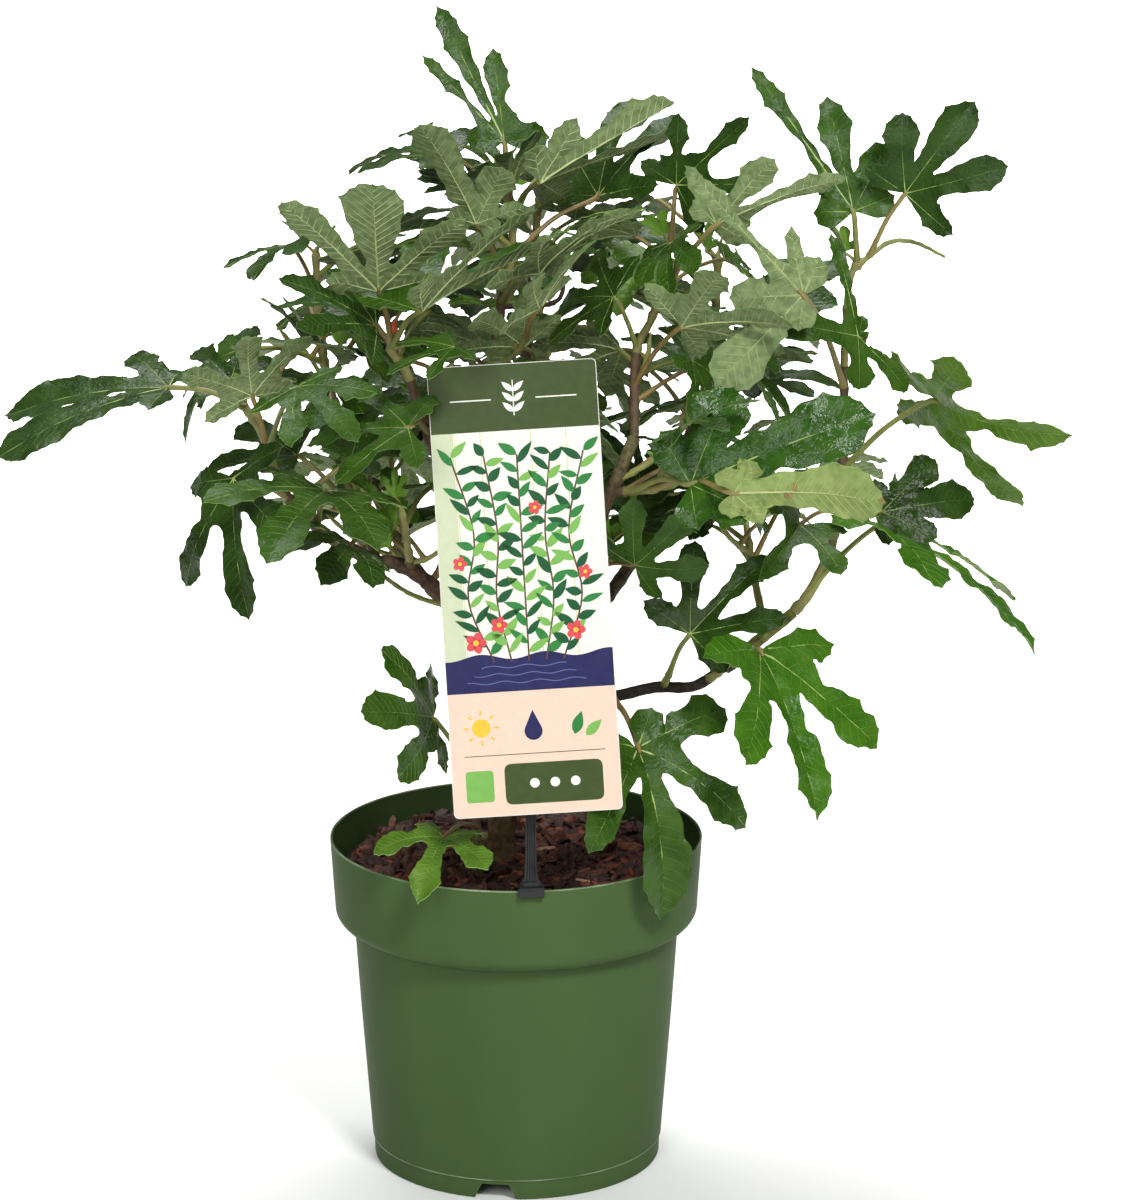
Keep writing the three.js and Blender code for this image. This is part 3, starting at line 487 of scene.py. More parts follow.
def piece(name, shape, materials, nodes=(), sharp=45):
    mesh = bpy.data.meshes.new(name)
    mesh.from_pydata((np.vstack(shape.points) * MM).tolist(), [], shape.faces)
    for each in materials:
        mesh.materials.append(each)
    mesh.polygons.foreach_set("material_index", shape.inks)
    if shape.tints:
        tints = np.hstack([np.vstack(shape.tints), np.ones((shape.size, 1))])
        mesh.color_attributes.new("tint", "FLOAT_COLOR", "POINT").data.foreach_set("color", tints.ravel())
    mesh.shade_smooth()
    mesh.set_sharp_from_angle(angle=math.radians(sharp))
    thing = bpy.data.objects.new(name, mesh)
    bpy.context.scene.collection.objects.link(thing)
    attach(thing, "root")
    if nodes:
        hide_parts(*nodes)
    return thing


def ring_faces(rings, sides):
    """Four-cornered faces between each ring of points and the next."""
    k = np.arange(sides)
    on = (k + 1) % sides
    row = np.stack([k, on, sides + on, sides + k], 1)
    return np.vstack([row + i * sides for i in range(rings - 1)])


def pole_faces(rings, sides):
    """Triangles that close the first and the last ring to two poles, whose points follow the rings'."""
    k = np.arange(sides)
    on = (k + 1) % sides
    last, pole = (rings - 1) * sides, rings * sides
    return np.vstack([
        np.stack([np.full(sides, pole), on, k], 1),
        np.stack([np.full(sides, pole + 1), last + k, last + on], 1),
    ])


def sweep(centres, radii, sides, relief=0.0):
    """A closed round limb: rings about the centres and a pole at each end. relief adds to the radii."""
    tangents = np.gradient(centres, axis=0)
    tangents /= np.linalg.norm(tangents, axis=1)[:, None]
    across = np.cross(tangents[0], [0, 0, 1] if abs(tangents[0][2]) < 0.9 else [0, 1, 0])
    turns = 2 * np.pi * np.arange(sides) / sides
    reach = np.broadcast_to(np.asarray(radii, float)[:, None] + relief, (len(centres), sides))
    rings = []
    for centre, tangent, radius in zip(centres, tangents, reach):
        across = across - tangent * (across @ tangent)
        across /= np.linalg.norm(across)
        beside = np.cross(tangent, across)
        spokes = np.cos(turns)[:, None] * across + np.sin(turns)[:, None] * beside
        rings.append(centre + spokes * radius[:, None])
    points = np.vstack([*rings, centres[:1], centres[-1:]])
    return points, [ring_faces(len(centres), sides), pole_faces(len(centres), sides)]


# ---------------------------------------------------------------- materials


def add_node(tree, kind, **values):
    """A node with its inputs set. An underscore in an input's name stands for a space."""
    made = tree.nodes.new(kind)
    for name, value in values.items():
        made.inputs[name.replace("_", " ")].default_value = value
    return made


def add_mix(tree, blend_type, factor, first, second):
    """A node that mixes two colours, each given as a value or as another node's output."""
    made = tree.nodes.new("ShaderNodeMix")
    made.data_type = "RGBA"
    made.blend_type = blend_type
    for name, source in (("Factor", factor), ("A", first), ("B", second)):
        if isinstance(source, bpy.types.NodeSocket):
            tree.links.new(source, made.inputs[name])
        else:
            made.inputs[name].default_value = source
    return made.outputs["Result"]


def finish_of(name, colour, other, scale, rough, grain, relief, stretch=(1, 1, 1), tinted=False, **sockets):
    """A surface that wanders between two colours in patches, with a fine relief. scale and grain are
    patches and grains per metre, and relief is in mm. A tinted surface is multiplied by its mesh's tint."""
    made = bpy.data.materials.new(name)
    made.use_nodes = True
    tree = made.node_tree
    link = tree.links.new
    shader = tree.nodes["Principled BSDF"]
    for socket, value in sockets.items():
        shader.inputs[socket.replace("_", " ")].default_value = value
    place = add_node(tree, "ShaderNodeTexCoord")
    mapping = add_node(tree, "ShaderNodeMapping", Scale=stretch)
    link(place.outputs["Object"], mapping.inputs["Vector"])
    patches = add_node(tree, "ShaderNodeTexNoise", Scale=scale, Detail=5)
    link(mapping.outputs["Vector"], patches.inputs["Vector"])
    share = add_node(tree, "ShaderNodeMapRange", From_Min=0.35, From_Max=0.65)
    link(patches.outputs["Fac"], share.inputs["Value"])
    paint = add_mix(tree, "MIX", share.outputs["Result"], (*linear(colour), 1), (*linear(other), 1))
    if tinted:
        tint = tree.nodes.new("ShaderNodeAttribute")
        tint.attribute_name = "tint"
        paint = add_mix(tree, "MULTIPLY", 1, tint.outputs["Color"], paint)
    link(paint, shader.inputs["Base Color"])
    gloss = add_node(
        tree, "ShaderNodeMapRange", From_Min=0.3, From_Max=0.7, To_Min=rough[0], To_Max=rough[1],
    )
    link(patches.outputs["Fac"], gloss.inputs["Value"])
    link(gloss.outputs["Result"], shader.inputs["Roughness"])
    grains = add_node(tree, "ShaderNodeTexNoise", Scale=grain, Detail=3)
    link(mapping.outputs["Vector"], grains.inputs["Vector"])
    bump = add_node(tree, "ShaderNodeBump", Strength=0.6, Distance=relief * MM)
    link(grains.outputs["Fac"], bump.inputs["Height"])
    link(bump.outputs["Normal"], shader.inputs["Normal"])
    return made


LEAF_TONES = {
    "dark": ((34, 58, 14), (48, 76, 22)),
    "mid": ((44, 76, 16), (62, 94, 28)),
    "bright": ((52, 98, 14), (70, 114, 24)),
    "glossy": ((40, 76, 18), (56, 94, 26)),
    "fresh": ((76, 112, 30), (96, 132, 44)),
}
UNDERSIDE = ((98, 118, 72), (130, 148, 100))
PALE_UNDERSIDE = ((122, 144, 78), (146, 164, 98))
SCORCHED = ((126, 106, 56), (150, 130, 78))
FINE_VEIN_STEPS = (28, 42)       # how much lighter the fine veins are than the blade
# The numbers of a leaf's materials.
TOP, UNDER, FINE_VEIN, SCORCH_SPOT, PALE_UNDER = range(5)


def leaf_materials():
    """For each tone its upper side, underside, edge and fine veins, scorched spots and pale underside."""
    matt = ((0.6, 0.72), 900, 0.12)
    under = finish_of("leaf_underside", *UNDERSIDE, 260, *matt, Specular_IOR_Level=0.25)
    pale = finish_of("leaf_underside_pale", *PALE_UNDERSIDE, 200, *matt, Specular_IOR_Level=0.25)
    scorch = finish_of("leaf_scorch", *SCORCHED, 300, (0.6, 0.75), 900, 0.2)
    made = {}
    for tone, (low, high) in LEAF_TONES.items():
        rough, sheen = ((0.14, 0.22), 0.24) if tone == "glossy" else ((0.24, 0.38), 0.2)
        top = finish_of(f"leaf_top_{tone}", low, high, 70, rough, 460, 0.9, Specular_IOR_Level=sheen)
        veins = [tuple(min(255, c + step) for c in high) for step in FINE_VEIN_STEPS]
        fine = finish_of(f"fine_vein_{tone}", *veins, 150, (0.4, 0.5), 1500, 0.02, Specular_IOR_Level=0.3)
        made[tone] = [top, under, fine, scorch, pale]
    return made


# ---------------------------------------------------------------- limbs and shoots


def curve_of(start, legs):
    points = [np.asarray(start, float)]
    for compass, rise, length in legs:
        points.append(points[-1] + heading(compass, rise) * length)
    return Curve(points)


def limb_curve(name):
    plan = LIMBS[name]
    if "foot" in plan:
        return curve_of((*plan["foot"], SOIL["top"] + GAP), plan["legs"])
    return curve_of(limb_curve(plan["parent"]).point(plan["at"]), plan["legs"])


def shoot_curve(plan):
    return curve_of(limb_curve(plan["limb"]).point(plan["at"]), plan["legs"])


# ---------------------------------------------------------------- where the leaves grow


def leaf_frame(compass, rise, roll):
    """A leaf's own axes: along its midrib, to its left, and out of its upper face."""
    along = heading(compass, rise)
    face = np.array([0, 0, 1]) - along * along[2]
    face /= np.linalg.norm(face)
    turn = math.radians(roll)
    face = face * math.cos(turn) + np.cross(along, face) * math.sin(turn)
    return along, np.cross(face, along), face


def leaf_place(shoot, plan):
    start = shoot.point(plan["at"])
    compass, rise, length = plan["petiole"]
    foot = start + heading(compass, rise) * length
    middle = (start + foot) / 2 + np.array([0, 0, PETIOLE_ARCH * length])
    return start, middle, foot, leaf_frame(*plan["blade"][:2], plan["roll"])


def on_path(first, middle, last, shares):
    """Points on the two straight legs through three points, at shares of the way."""
    early, late = first + (middle - first) * 2 * shares, middle + (last - middle) * (2 * shares - 1)
    return np.where(shares < 0.5, early, late)


def lobes_of(plan):
    if "lobes" in plan:
        return plan["lobes"]
    return [
        (angle * plan["spread"], reach * (1 + np.sign(angle) * plan["bias"]), half)
        for angle, reach, half in LOBES
    ]


def blade_points(plan, foot, axes, angles, reaches, lift=0.0):
    """Points of the blade from their angles off the midrib, in radians, and their reaches as shares of its
    length. lift raises them above the blade's plain folded and drooping form."""
    along, left, face = axes
    length = plan["blade"][2]
    sag = math.radians(plan["droop"]) * reaches / 2
    out = length * reaches * np.cos(sag)
    rise = np.abs(np.sin(angles)) * length * reaches * math.tan(math.radians(plan["fold"]))
    height = rise - length * reaches * np.sin(sag) + lift
    spread = np.outer(out * np.cos(angles), along) + np.outer(out * np.sin(angles), left)
    return foot + spread + np.outer(height, face)


def leaf_samples(shoot, plan):
    """Points spread over a leaf, which stand for it when another leaf looks for room."""
    start, middle, foot, axes = leaf_place(shoot, plan)
    stalk = on_path(start, middle, foot, np.arange(4, 11)[:, None] / 10)
    angles, reaches = [], []
    for angle, reach, half in lobes_of(plan):
        for share in np.arange(2, 11) / 10:
            lean = math.atan2(half, reach * share) * (1 if share < 1 else 0.4)
            angles.extend(math.radians(angle) + side * lean for side in (-1, -0.5, 0, 0.5, 1))
            reaches.extend([reach * share] * 5)
    return np.vstack([stalk, blade_points(plan, foot, axes, np.array(angles), np.array(reaches))])


def curve_samples(curve):
    return curve.along(np.linspace(0, 1, math.ceil(curve.length / 8) + 1))


def card_matrix():
    lean, tilt = math.radians(-CARD["lean"]), math.radians(-CARD["tilt"])
    return np.array(Euler((lean, 0, 0)).to_matrix() @ Euler((0, tilt, 0)).to_matrix())


def on_card(points):
    """Points of the card's own frame, where -Y is its front, in the model's frame."""
    return np.asarray(points, float) @ card_matrix().T + np.array(CARD["centre"])


def card_samples():
    across = (np.arange(10) / 9 - 0.5) * CARD["width"]
    up = (np.arange(25) / 24 - 0.5) * CARD["height"]
    return on_card([(x, 0, z) for x in across for z in up])


def is_clear(samples, taken, clear):
    """Whether a leaf keeps clear of what has grown. A few of its points are tried first, then all."""
    middle = samples.mean(0)
    reach = np.linalg.norm(samples - middle, axis=1).max() + clear
    near = taken[np.linalg.norm(taken - middle, axis=1) < reach]
    for stride in (9, 1):
        gaps = ((samples[::stride, None] - near[None]) ** 2).sum(2)
        if len(near) and gaps.min() <= clear ** 2:
            return False
    return True


def is_in_crown(samples):
    shares = np.abs((samples - CROWN["centre"]) / CROWN["radii"]) ** CROWN["power"]
    across = CARD["width"] / 2 + CARD_CLEARANCE
    before = CARD["centre"][1] + 2 * CARD_CLEARANCE
    top = CARD["centre"][2] + CARD["height"] / 2 + CARD_CLEARANCE
    x, y, z = samples.T
    hides_card = (np.abs(x - CARD["centre"][0]) < across) & (y < before) & (z < top)
    return bool(np.all((z > CROWN["floor"]) & (shares.sum(1) < 1) & ~hides_card))


def is_in_gap(samples, rule):
    """Whether a leaf of the fine growth would close a gap through which the sky shows from the front."""
    reach = VIEW[1] / (VIEW[1] - samples[:, 1])
    flat = np.stack([VIEW[k] + (samples[:, k] - VIEW[k]) * reach for k in (0, 2)], 1)
    gaps = rule.get("open", ())
    return any(np.any(((flat - middle) ** 2).sum(1) < radius ** 2) for middle, radius in gaps)


def rule_leaf(rule, draw, i, count):
    """One try at a further leaf: each turns on by the golden angle from the one below it."""
    compass = rule["turn"] * i + draw(rule["jitter"])
    at = rule["first"] + (1 - rule["first"]) * (i + 0.5) / count
    rise = draw(rule["petiole_rise"])
    petiole = (compass, rise, draw(rule["petiole_length"]))
    blade = (compass + draw(rule["jitter"]), rise - draw(rule["sag"]), draw(rule["length"]))
    form = {key: draw(rule[key]) for key in ("spread", "fold", "droop", "bias")}
    return leaf(at, petiole, blade, draw(rule["roll"]), **form)


class Crown:
    """Every shoot and twig with its leaves, and the room that they have taken."""

    FRESH_POINTS = 4000              # the tree of taken points is built anew after so many more
    SPREAD_OUT = 11                  # a leaf's points are looked up in strides, so that a clash shows soon

    def __init__(self):
        self.shoots = {name: shoot_curve(plan) for name, plan in MASSES.items()}
        self.twigs, self.leaves = [], []
        self.taken = np.vstack([card_samples(), *(curve_samples(limb_curve(name)) for name in LIMBS)])
        for name, plan in MASSES.items():
            shoot = self.shoots[name]
            self.take(curve_samples(shoot))
            for each in plan["leaves"]:
                self.bear(shoot, each, leaf_samples(shoot, each), placed=True)
        self.indexed = 0
        self.tree = None

    def take(self, samples):
        self.taken = np.vstack([self.taken, samples])

    def bear(self, shoot, plan, samples, placed=False):
        self.leaves.append({"shoot": shoot, "plan": plan, "placed": placed})
        self.take(samples)

    def joints(self, shoot):
        """Where leaves sit on a shoot or twig, as shares of its length."""
        return [row["plan"]["at"] for row in self.leaves if row["shoot"] is shoot]

    def is_free(self, samples, clear):
        """The same test as is_clear for the fine growth, which looks old points up in a tree."""
        if len(self.taken) - self.indexed > self.FRESH_POINTS:
            self.tree = KDTree(len(self.taken))
            for k, point in enumerate(self.taken):
                self.tree.insert(point, k)
            self.tree.balance()
            self.indexed = len(self.taken)
        order = np.concatenate([samples[k::self.SPREAD_OUT] for k in range(self.SPREAD_OUT)])
        if self.tree and any(self.tree.find(point)[2] <= clear for point in order):
            return False
        return is_clear(samples, self.taken[self.indexed:], clear)

    def has_room(self, samples, rule):
        if not is_in_crown(samples) or is_in_gap(samples, rule):
            return False
        if "open" in rule:
            return self.is_free(samples, rule["clear"])
        return is_clear(samples, self.taken, rule["clear"])

    def try_leaf(self, rule, shoot, draw, i, count):
        for _ in range(rule["tries"]):
            plan = rule_leaf(rule, draw, i, count)
            samples = leaf_samples(shoot, plan)
            if self.has_room(samples, rule):
                plan["tone"] = TONES[len(self.leaves) % len(TONES)]
                self.bear(shoot, plan, samples)
                return

    def fill(self):
        """The further leaves that the solids have too."""
        for name, plan in MASSES.items():
            draw = seeded(plan["seed"])
            for i in range(plan["fill"]):
                self.try_leaf(FILL, self.shoots[name], draw, i, plan["fill"])

    def grow_tips(self):
        """The youngest leaves, small and half folded, beside each shoot's tip."""
        for plan, shoot in zip(MASSES.values(), self.shoots.values()):
            if not plan["fill"]:
                continue
            draw = seeded(3 * FINE_SEED + plan["seed"])
            for i in range(TIP["leaves"]):
                compass = FILL["turn"] * i + draw((0, 360))
                petiole = (compass, draw(TIP["rise"]), draw(TIP["petiole"]))
                blade = (compass + draw(FILL["jitter"]), draw(TIP["rise"]), draw(TIP["length"]))
                form = {key: TIP[key] for key in ("fold", "spread")}
                tip = leaf(TIP["at"], petiole, blade, draw(FINE["roll"]), "fresh", **form)
                samples = leaf_samples(shoot, tip)
                if self.is_free(samples, TIP["clear"]):
                    self.bear(shoot, tip, samples)

    def grow_twigs(self):
        """Side twigs with smaller leaves along each shoot, and a few more leaves on the shoot itself."""
        for name, plan in MASSES.items():
            if not plan["fill"] or name in BARE:
                continue
            draw = seeded(FINE_SEED + plan["seed"])
            shoot = self.shoots[name]
            count = max(1, round(shoot.length / TWIG["every"]))
            for i in range(count):
                self.grow_twig(shoot, i, count, draw, FILL["turn"] * (i + 0.5), TWIG, FINE)
            for i in range(TWIG["leaves"]):
                self.try_leaf(FINE, shoot, draw, i, TWIG["leaves"])

    def grow_bough_twigs(self):
        """Short twigs with leaves along the outer part of each bough."""
        stretch = BOUGH_TWIG["last"] - BOUGH_TWIG["first"]
        for k, (name, plan) in enumerate(LIMBS.items()):
            if "foot" in plan or name in BARE:
                continue
            draw = seeded(2 * FINE_SEED + k)
            bough = limb_curve(name)
            count = max(1, round(stretch * bough.length / BOUGH_TWIG["every"]))
            for i in range(count):
                self.grow_twig(bough, i, count, draw, FILL["turn"] * i, BOUGH_TWIG, BOUGH_FINE)

    def grow_twig(self, limb, i, count, draw, bearing, plan, rule):
        """One twig with its leaves. It is left out where it would touch a leaf, or bears none."""
        at = plan["first"] + (plan["last"] - plan["first"]) * i / count
        compass = bearing + draw(FILL["jitter"])
        rise, length = draw(plan["rise"]), draw(plan["length"])
        legs = [(compass, rise, length), (compass + draw(FILL["jitter"]) / 2, rise + plan["bend"], length)]
        twig = curve_of(limb.point(at), legs)
        samples = curve_samples(twig)[2:]
        if not self.is_free(samples, plan["radius"][0] + 1):
            return
        grown, room = len(self.leaves), self.taken
        self.take(samples)
        for k in range(plan["leaves"]):
            self.try_leaf(rule, twig, draw, k, plan["leaves"])
        if len(self.leaves) > grown:
            self.twigs.append(twig)
        else:
            self.taken = room


# ---------------------------------------------------------------- leaf outlines and veins

LEAF_THICKNESS = 0.5
USUAL_LENGTH = 90                # a leaf of this length has the relief as stated
# Teeth of a lobe: how far each is from the lobe's tip and how far it stands out, as shares of the leaf's
# length. The last is the lobe's shoulder, and below it the edge is smooth.
TEETH = [(0, 0), (0.08, 0.007), (0.165, 0.011), (0.26, 0.022)]
TOOTH = {"sag": 0.14, "shoulder": 0.028, "overshoot": 0.35, "wave": 0.006, "wave_length": 0.19}
NO_TIP = 9.0                     # stands for how far off a tip is where the edge has none
SINUS_RANGE = (0.9, 1.35)        # the web between lobes grows on past the solids' straight one
EAR_HALF = 0.11                  # half width of the two small lobes beside the petiole
# A lobe's edge from its waist to near its tip: the share along it, and the width as a share of its half.
FLANK = [(0.43, 0.68), (0.58, 0.86), (0.73, 1.0), (0.87, 0.8), (0.955, 0.42)]
EAR_FRONT = [(0.55, 1.0), (0.74, 0.85), (0.92, 0.4)]
EAR_BACK = [(0.22, 0.4), (0.52, 0.82), (0.82, 0.7)]
ROOM = 0.86 * 0.8                # how much of the way to its neighbour a lobe may take up
# How fine a leaf's mesh is: its edge and net in mm, how far apart its side veins are as a share of its
# length, and the stations of its main veins.
PLACED = {"edge": 1.7, "grid": 3.1, "pitch": 0.058, "stations": 11}
GROWN = {"edge": 2.3, "grid": 4.2, "pitch": 0.075, "stations": 7}
BROAD = (0.65, 1.1)              # how broad the lobes are against the solids', where a plan has no value
VEIN = {
    "main": 0.017, "side": 0.0058, "proud_top": 0.1, "proud_under": 0.42, "most_proud": 0.9, "sunk": 0.15,
    "first": 0.09, "foot": 0.012, "end": 0.985, "lean": (74, 26), "bend": 0.8, "reach": 0.45,
}


def turned(points, degrees):
    c, s = math.cos(math.radians(degrees)), math.sin(math.radians(degrees))
    return np.asarray(points, float) @ np.array([[c, s], [-s, c]])


def toothed(from_tip, teeth):
    """How far the edge stands out: points at the teeth, and hollows between them."""
    places, heights = teeth.T
    out = np.interp(from_tip, places, heights)
    k = np.clip(np.searchsorted(places, from_tip, side="right") - 1, 0, len(places) - 2)
    gap = places[k + 1] - places[k]
    share = np.clip((from_tip - places[k]) / gap, 0, 1)
    out = out - TOOTH["sag"] * gap * 4 * share * (1 - share)
    past = np.maximum(from_tip - places[-1], 0)
    fall = (1 + TOOTH["overshoot"]) * np.exp(-past / TOOTH["shoulder"]) - TOOTH["overshoot"]
    return np.where(past > 0, heights[-1] * fall, out)


def edge_stretch(span, from_tip, to_tip, length, spacing, rng):
    """One stretch of the edge through its points, with teeth near each lobe's tip and waves farther off.
    from_tip and to_tip say whether it starts and ends at such a tip."""
    curve = Curve(span)
    count = max(6, round(curve.length * length / spacing))
    run = np.linspace(0, 1, count + 1)[:-1]
    first_teeth, last_teeth = (
        np.array([(place * rng.uniform(0.8, 1.2), out * rng.uniform(0.5, 1.5)) for place, out in TEETH])
        for _ in range(2)
    )
    for teeth, is_there, is_last in ((first_teeth, from_tip, False), (last_teeth, to_tip, True)):
        for place in teeth[1:, 0] / curve.length:
            share = 1 - place if is_last else place
            if is_there and 0.02 < share < 0.98:
                run[np.abs(run - share).argmin()] = share
    points = curve.along(run)
    step = np.gradient(points, axis=0)
    outward = np.stack([step[:, 1], -step[:, 0]], 1) / np.linalg.norm(step, axis=1)[:, None]
    since = run * curve.length if from_tip else np.full(count, NO_TIP)
    until = (1 - run) * curve.length if to_tip else np.full(count, NO_TIP)
    out = np.where(since < until, toothed(since, first_teeth), toothed(until, last_teeth))
    nearest_tip = np.minimum(since, until)
    wave = np.sin(2 * np.pi * nearest_tip / TOOTH["wave_length"] + rng.uniform(0, 6))
    out = out + TOOTH["wave"] * wave * ease(nearest_tip, 0.3, 0.4)
    off_foot = 1 - ease(-np.hypot(*points.T), -0.22, -0.1)
    return points + outward * (out * off_foot)[:, None]


def blade_outline(lobes, length, spacing, broad, web, rng):
    """The blade's edge, from its foot round and back, as shares of its length with the midrib along X."""
    angles = [angle for angle, _, _ in lobes]
    tips = [turned([[reach, 0]], angle)[0] for angle, reach, _ in lobes]

    def flank(i, side):
        angle, reach, half = lobes[i]
        if half:
            limits = [abs(angle - angles[k]) / 2 for k in (i - 1, i + 1)]
            most = ROOM * reach * math.sin(math.radians(min(limits)))
            half = min(half * broad * rng.uniform(0.9, 1.1), most)
        rows = FLANK if half else EAR_FRONT
        shape = [(share * reach, side * width * (half or EAR_HALF)) for share, width in rows]
        return list(turned(shape, angle))

    def ear_back(i, side):
        angle, reach, _ = lobes[i]
        return turned([(share * reach, side * width * EAR_HALF) for share, width in EAR_BACK], angle)

    foot = np.zeros(2)
    web = web or rng.uniform(*SINUS_RANGE)
    spans = [[foot, *ear_back(0, -1), tips[0]]]
    for i in range(len(lobes) - 1):
        middle = (angles[i] + angles[i + 1]) / 2
        sinus = turned([[SINUS_REACH * web * rng.uniform(0.93, 1.07), 0]], middle)[0]
        spans.append([tips[i], *flank(i, 1)[::-1], sinus, *flank(i + 1, -1), tips[i + 1]])
    spans.append([tips[-1], *ear_back(-1, 1)[::-1], foot])
    last = len(spans) - 1
    return np.vstack([
        edge_stretch(span, i > 0, i < last, length, spacing, rng) for i, span in enumerate(spans)
    ])


def inside(points, outline):
    x, y = points[:, :1], points[:, 1:]
    a, b = outline, np.roll(outline, -1, axis=0)
    rise = np.where(b[:, 1] == a[:, 1], 1, b[:, 1] - a[:, 1])
    crossing = ((a[:, 1] > y) != (b[:, 1] > y)) & (x < a[:, 0] + (y - a[:, 1]) * (b[:, 0] - a[:, 0]) / rise)
    return crossing.sum(1) % 2 == 1


def side_vein(angle, start, lean, side, run):
    """Points of a side vein that leaves the main vein of the lobe at an angle and bends towards its tip."""
    along = start + run * math.cos(lean) + VEIN["bend"] * run ** 2
    return turned(np.stack([along, side * run * math.sin(lean)], 1), angle)


def side_veins(lobes, outline, pitch):
    """The side veins of every lobe, each as three points, and the stations where they leave their main."""
    angles = [angle for angle, _, _ in lobes]
    bounds = [-200, *((a + b) / 2 for a, b in zip(angles, angles[1:])), 200]
    steps = np.linspace(0, 1, 41)[1:]
    steep, easing = VEIN["lean"]
    veins, stations = [], []
    for i, (angle, reach, _) in enumerate(lobes):
        leaving = []
        for side in (-1, 1):
            first = VEIN["first"] + (0.25 + 0.25 * side) * pitch
            for start in np.arange(first, 0.95 * reach, pitch):
                lean = math.radians(steep - easing * start / reach)
                path = side_vein(angle, start, lean, side, VEIN["reach"] * steps)
                bearing = np.degrees(np.arctan2(path[:, 1], path[:, 0]))
                fits = inside(path, outline) & (bearing > bounds[i]) & (bearing < bounds[i + 1])
                far = len(steps) if fits.all() else int(np.argmin(fits))
                if far < 3:
                    continue
                end = steps[far - 1] * VEIN["reach"]
                veins.append(side_vein(angle, start, lean, side, end * np.array([0, 0.5, 0.98])))
                leaving.append(start)
        stations.append(sorted([VEIN["foot"], *leaving, VEIN["end"] * reach]))
    return np.array(veins), stations


def nearest(points, others):
    """How far each point is from the nearest of the others, and which that is."""
    gaps = ((points[:, None] - others[None]) ** 2).sum(2)
    index = gaps.argmin(1)
    return np.sqrt(gaps[np.arange(len(points)), index]), index


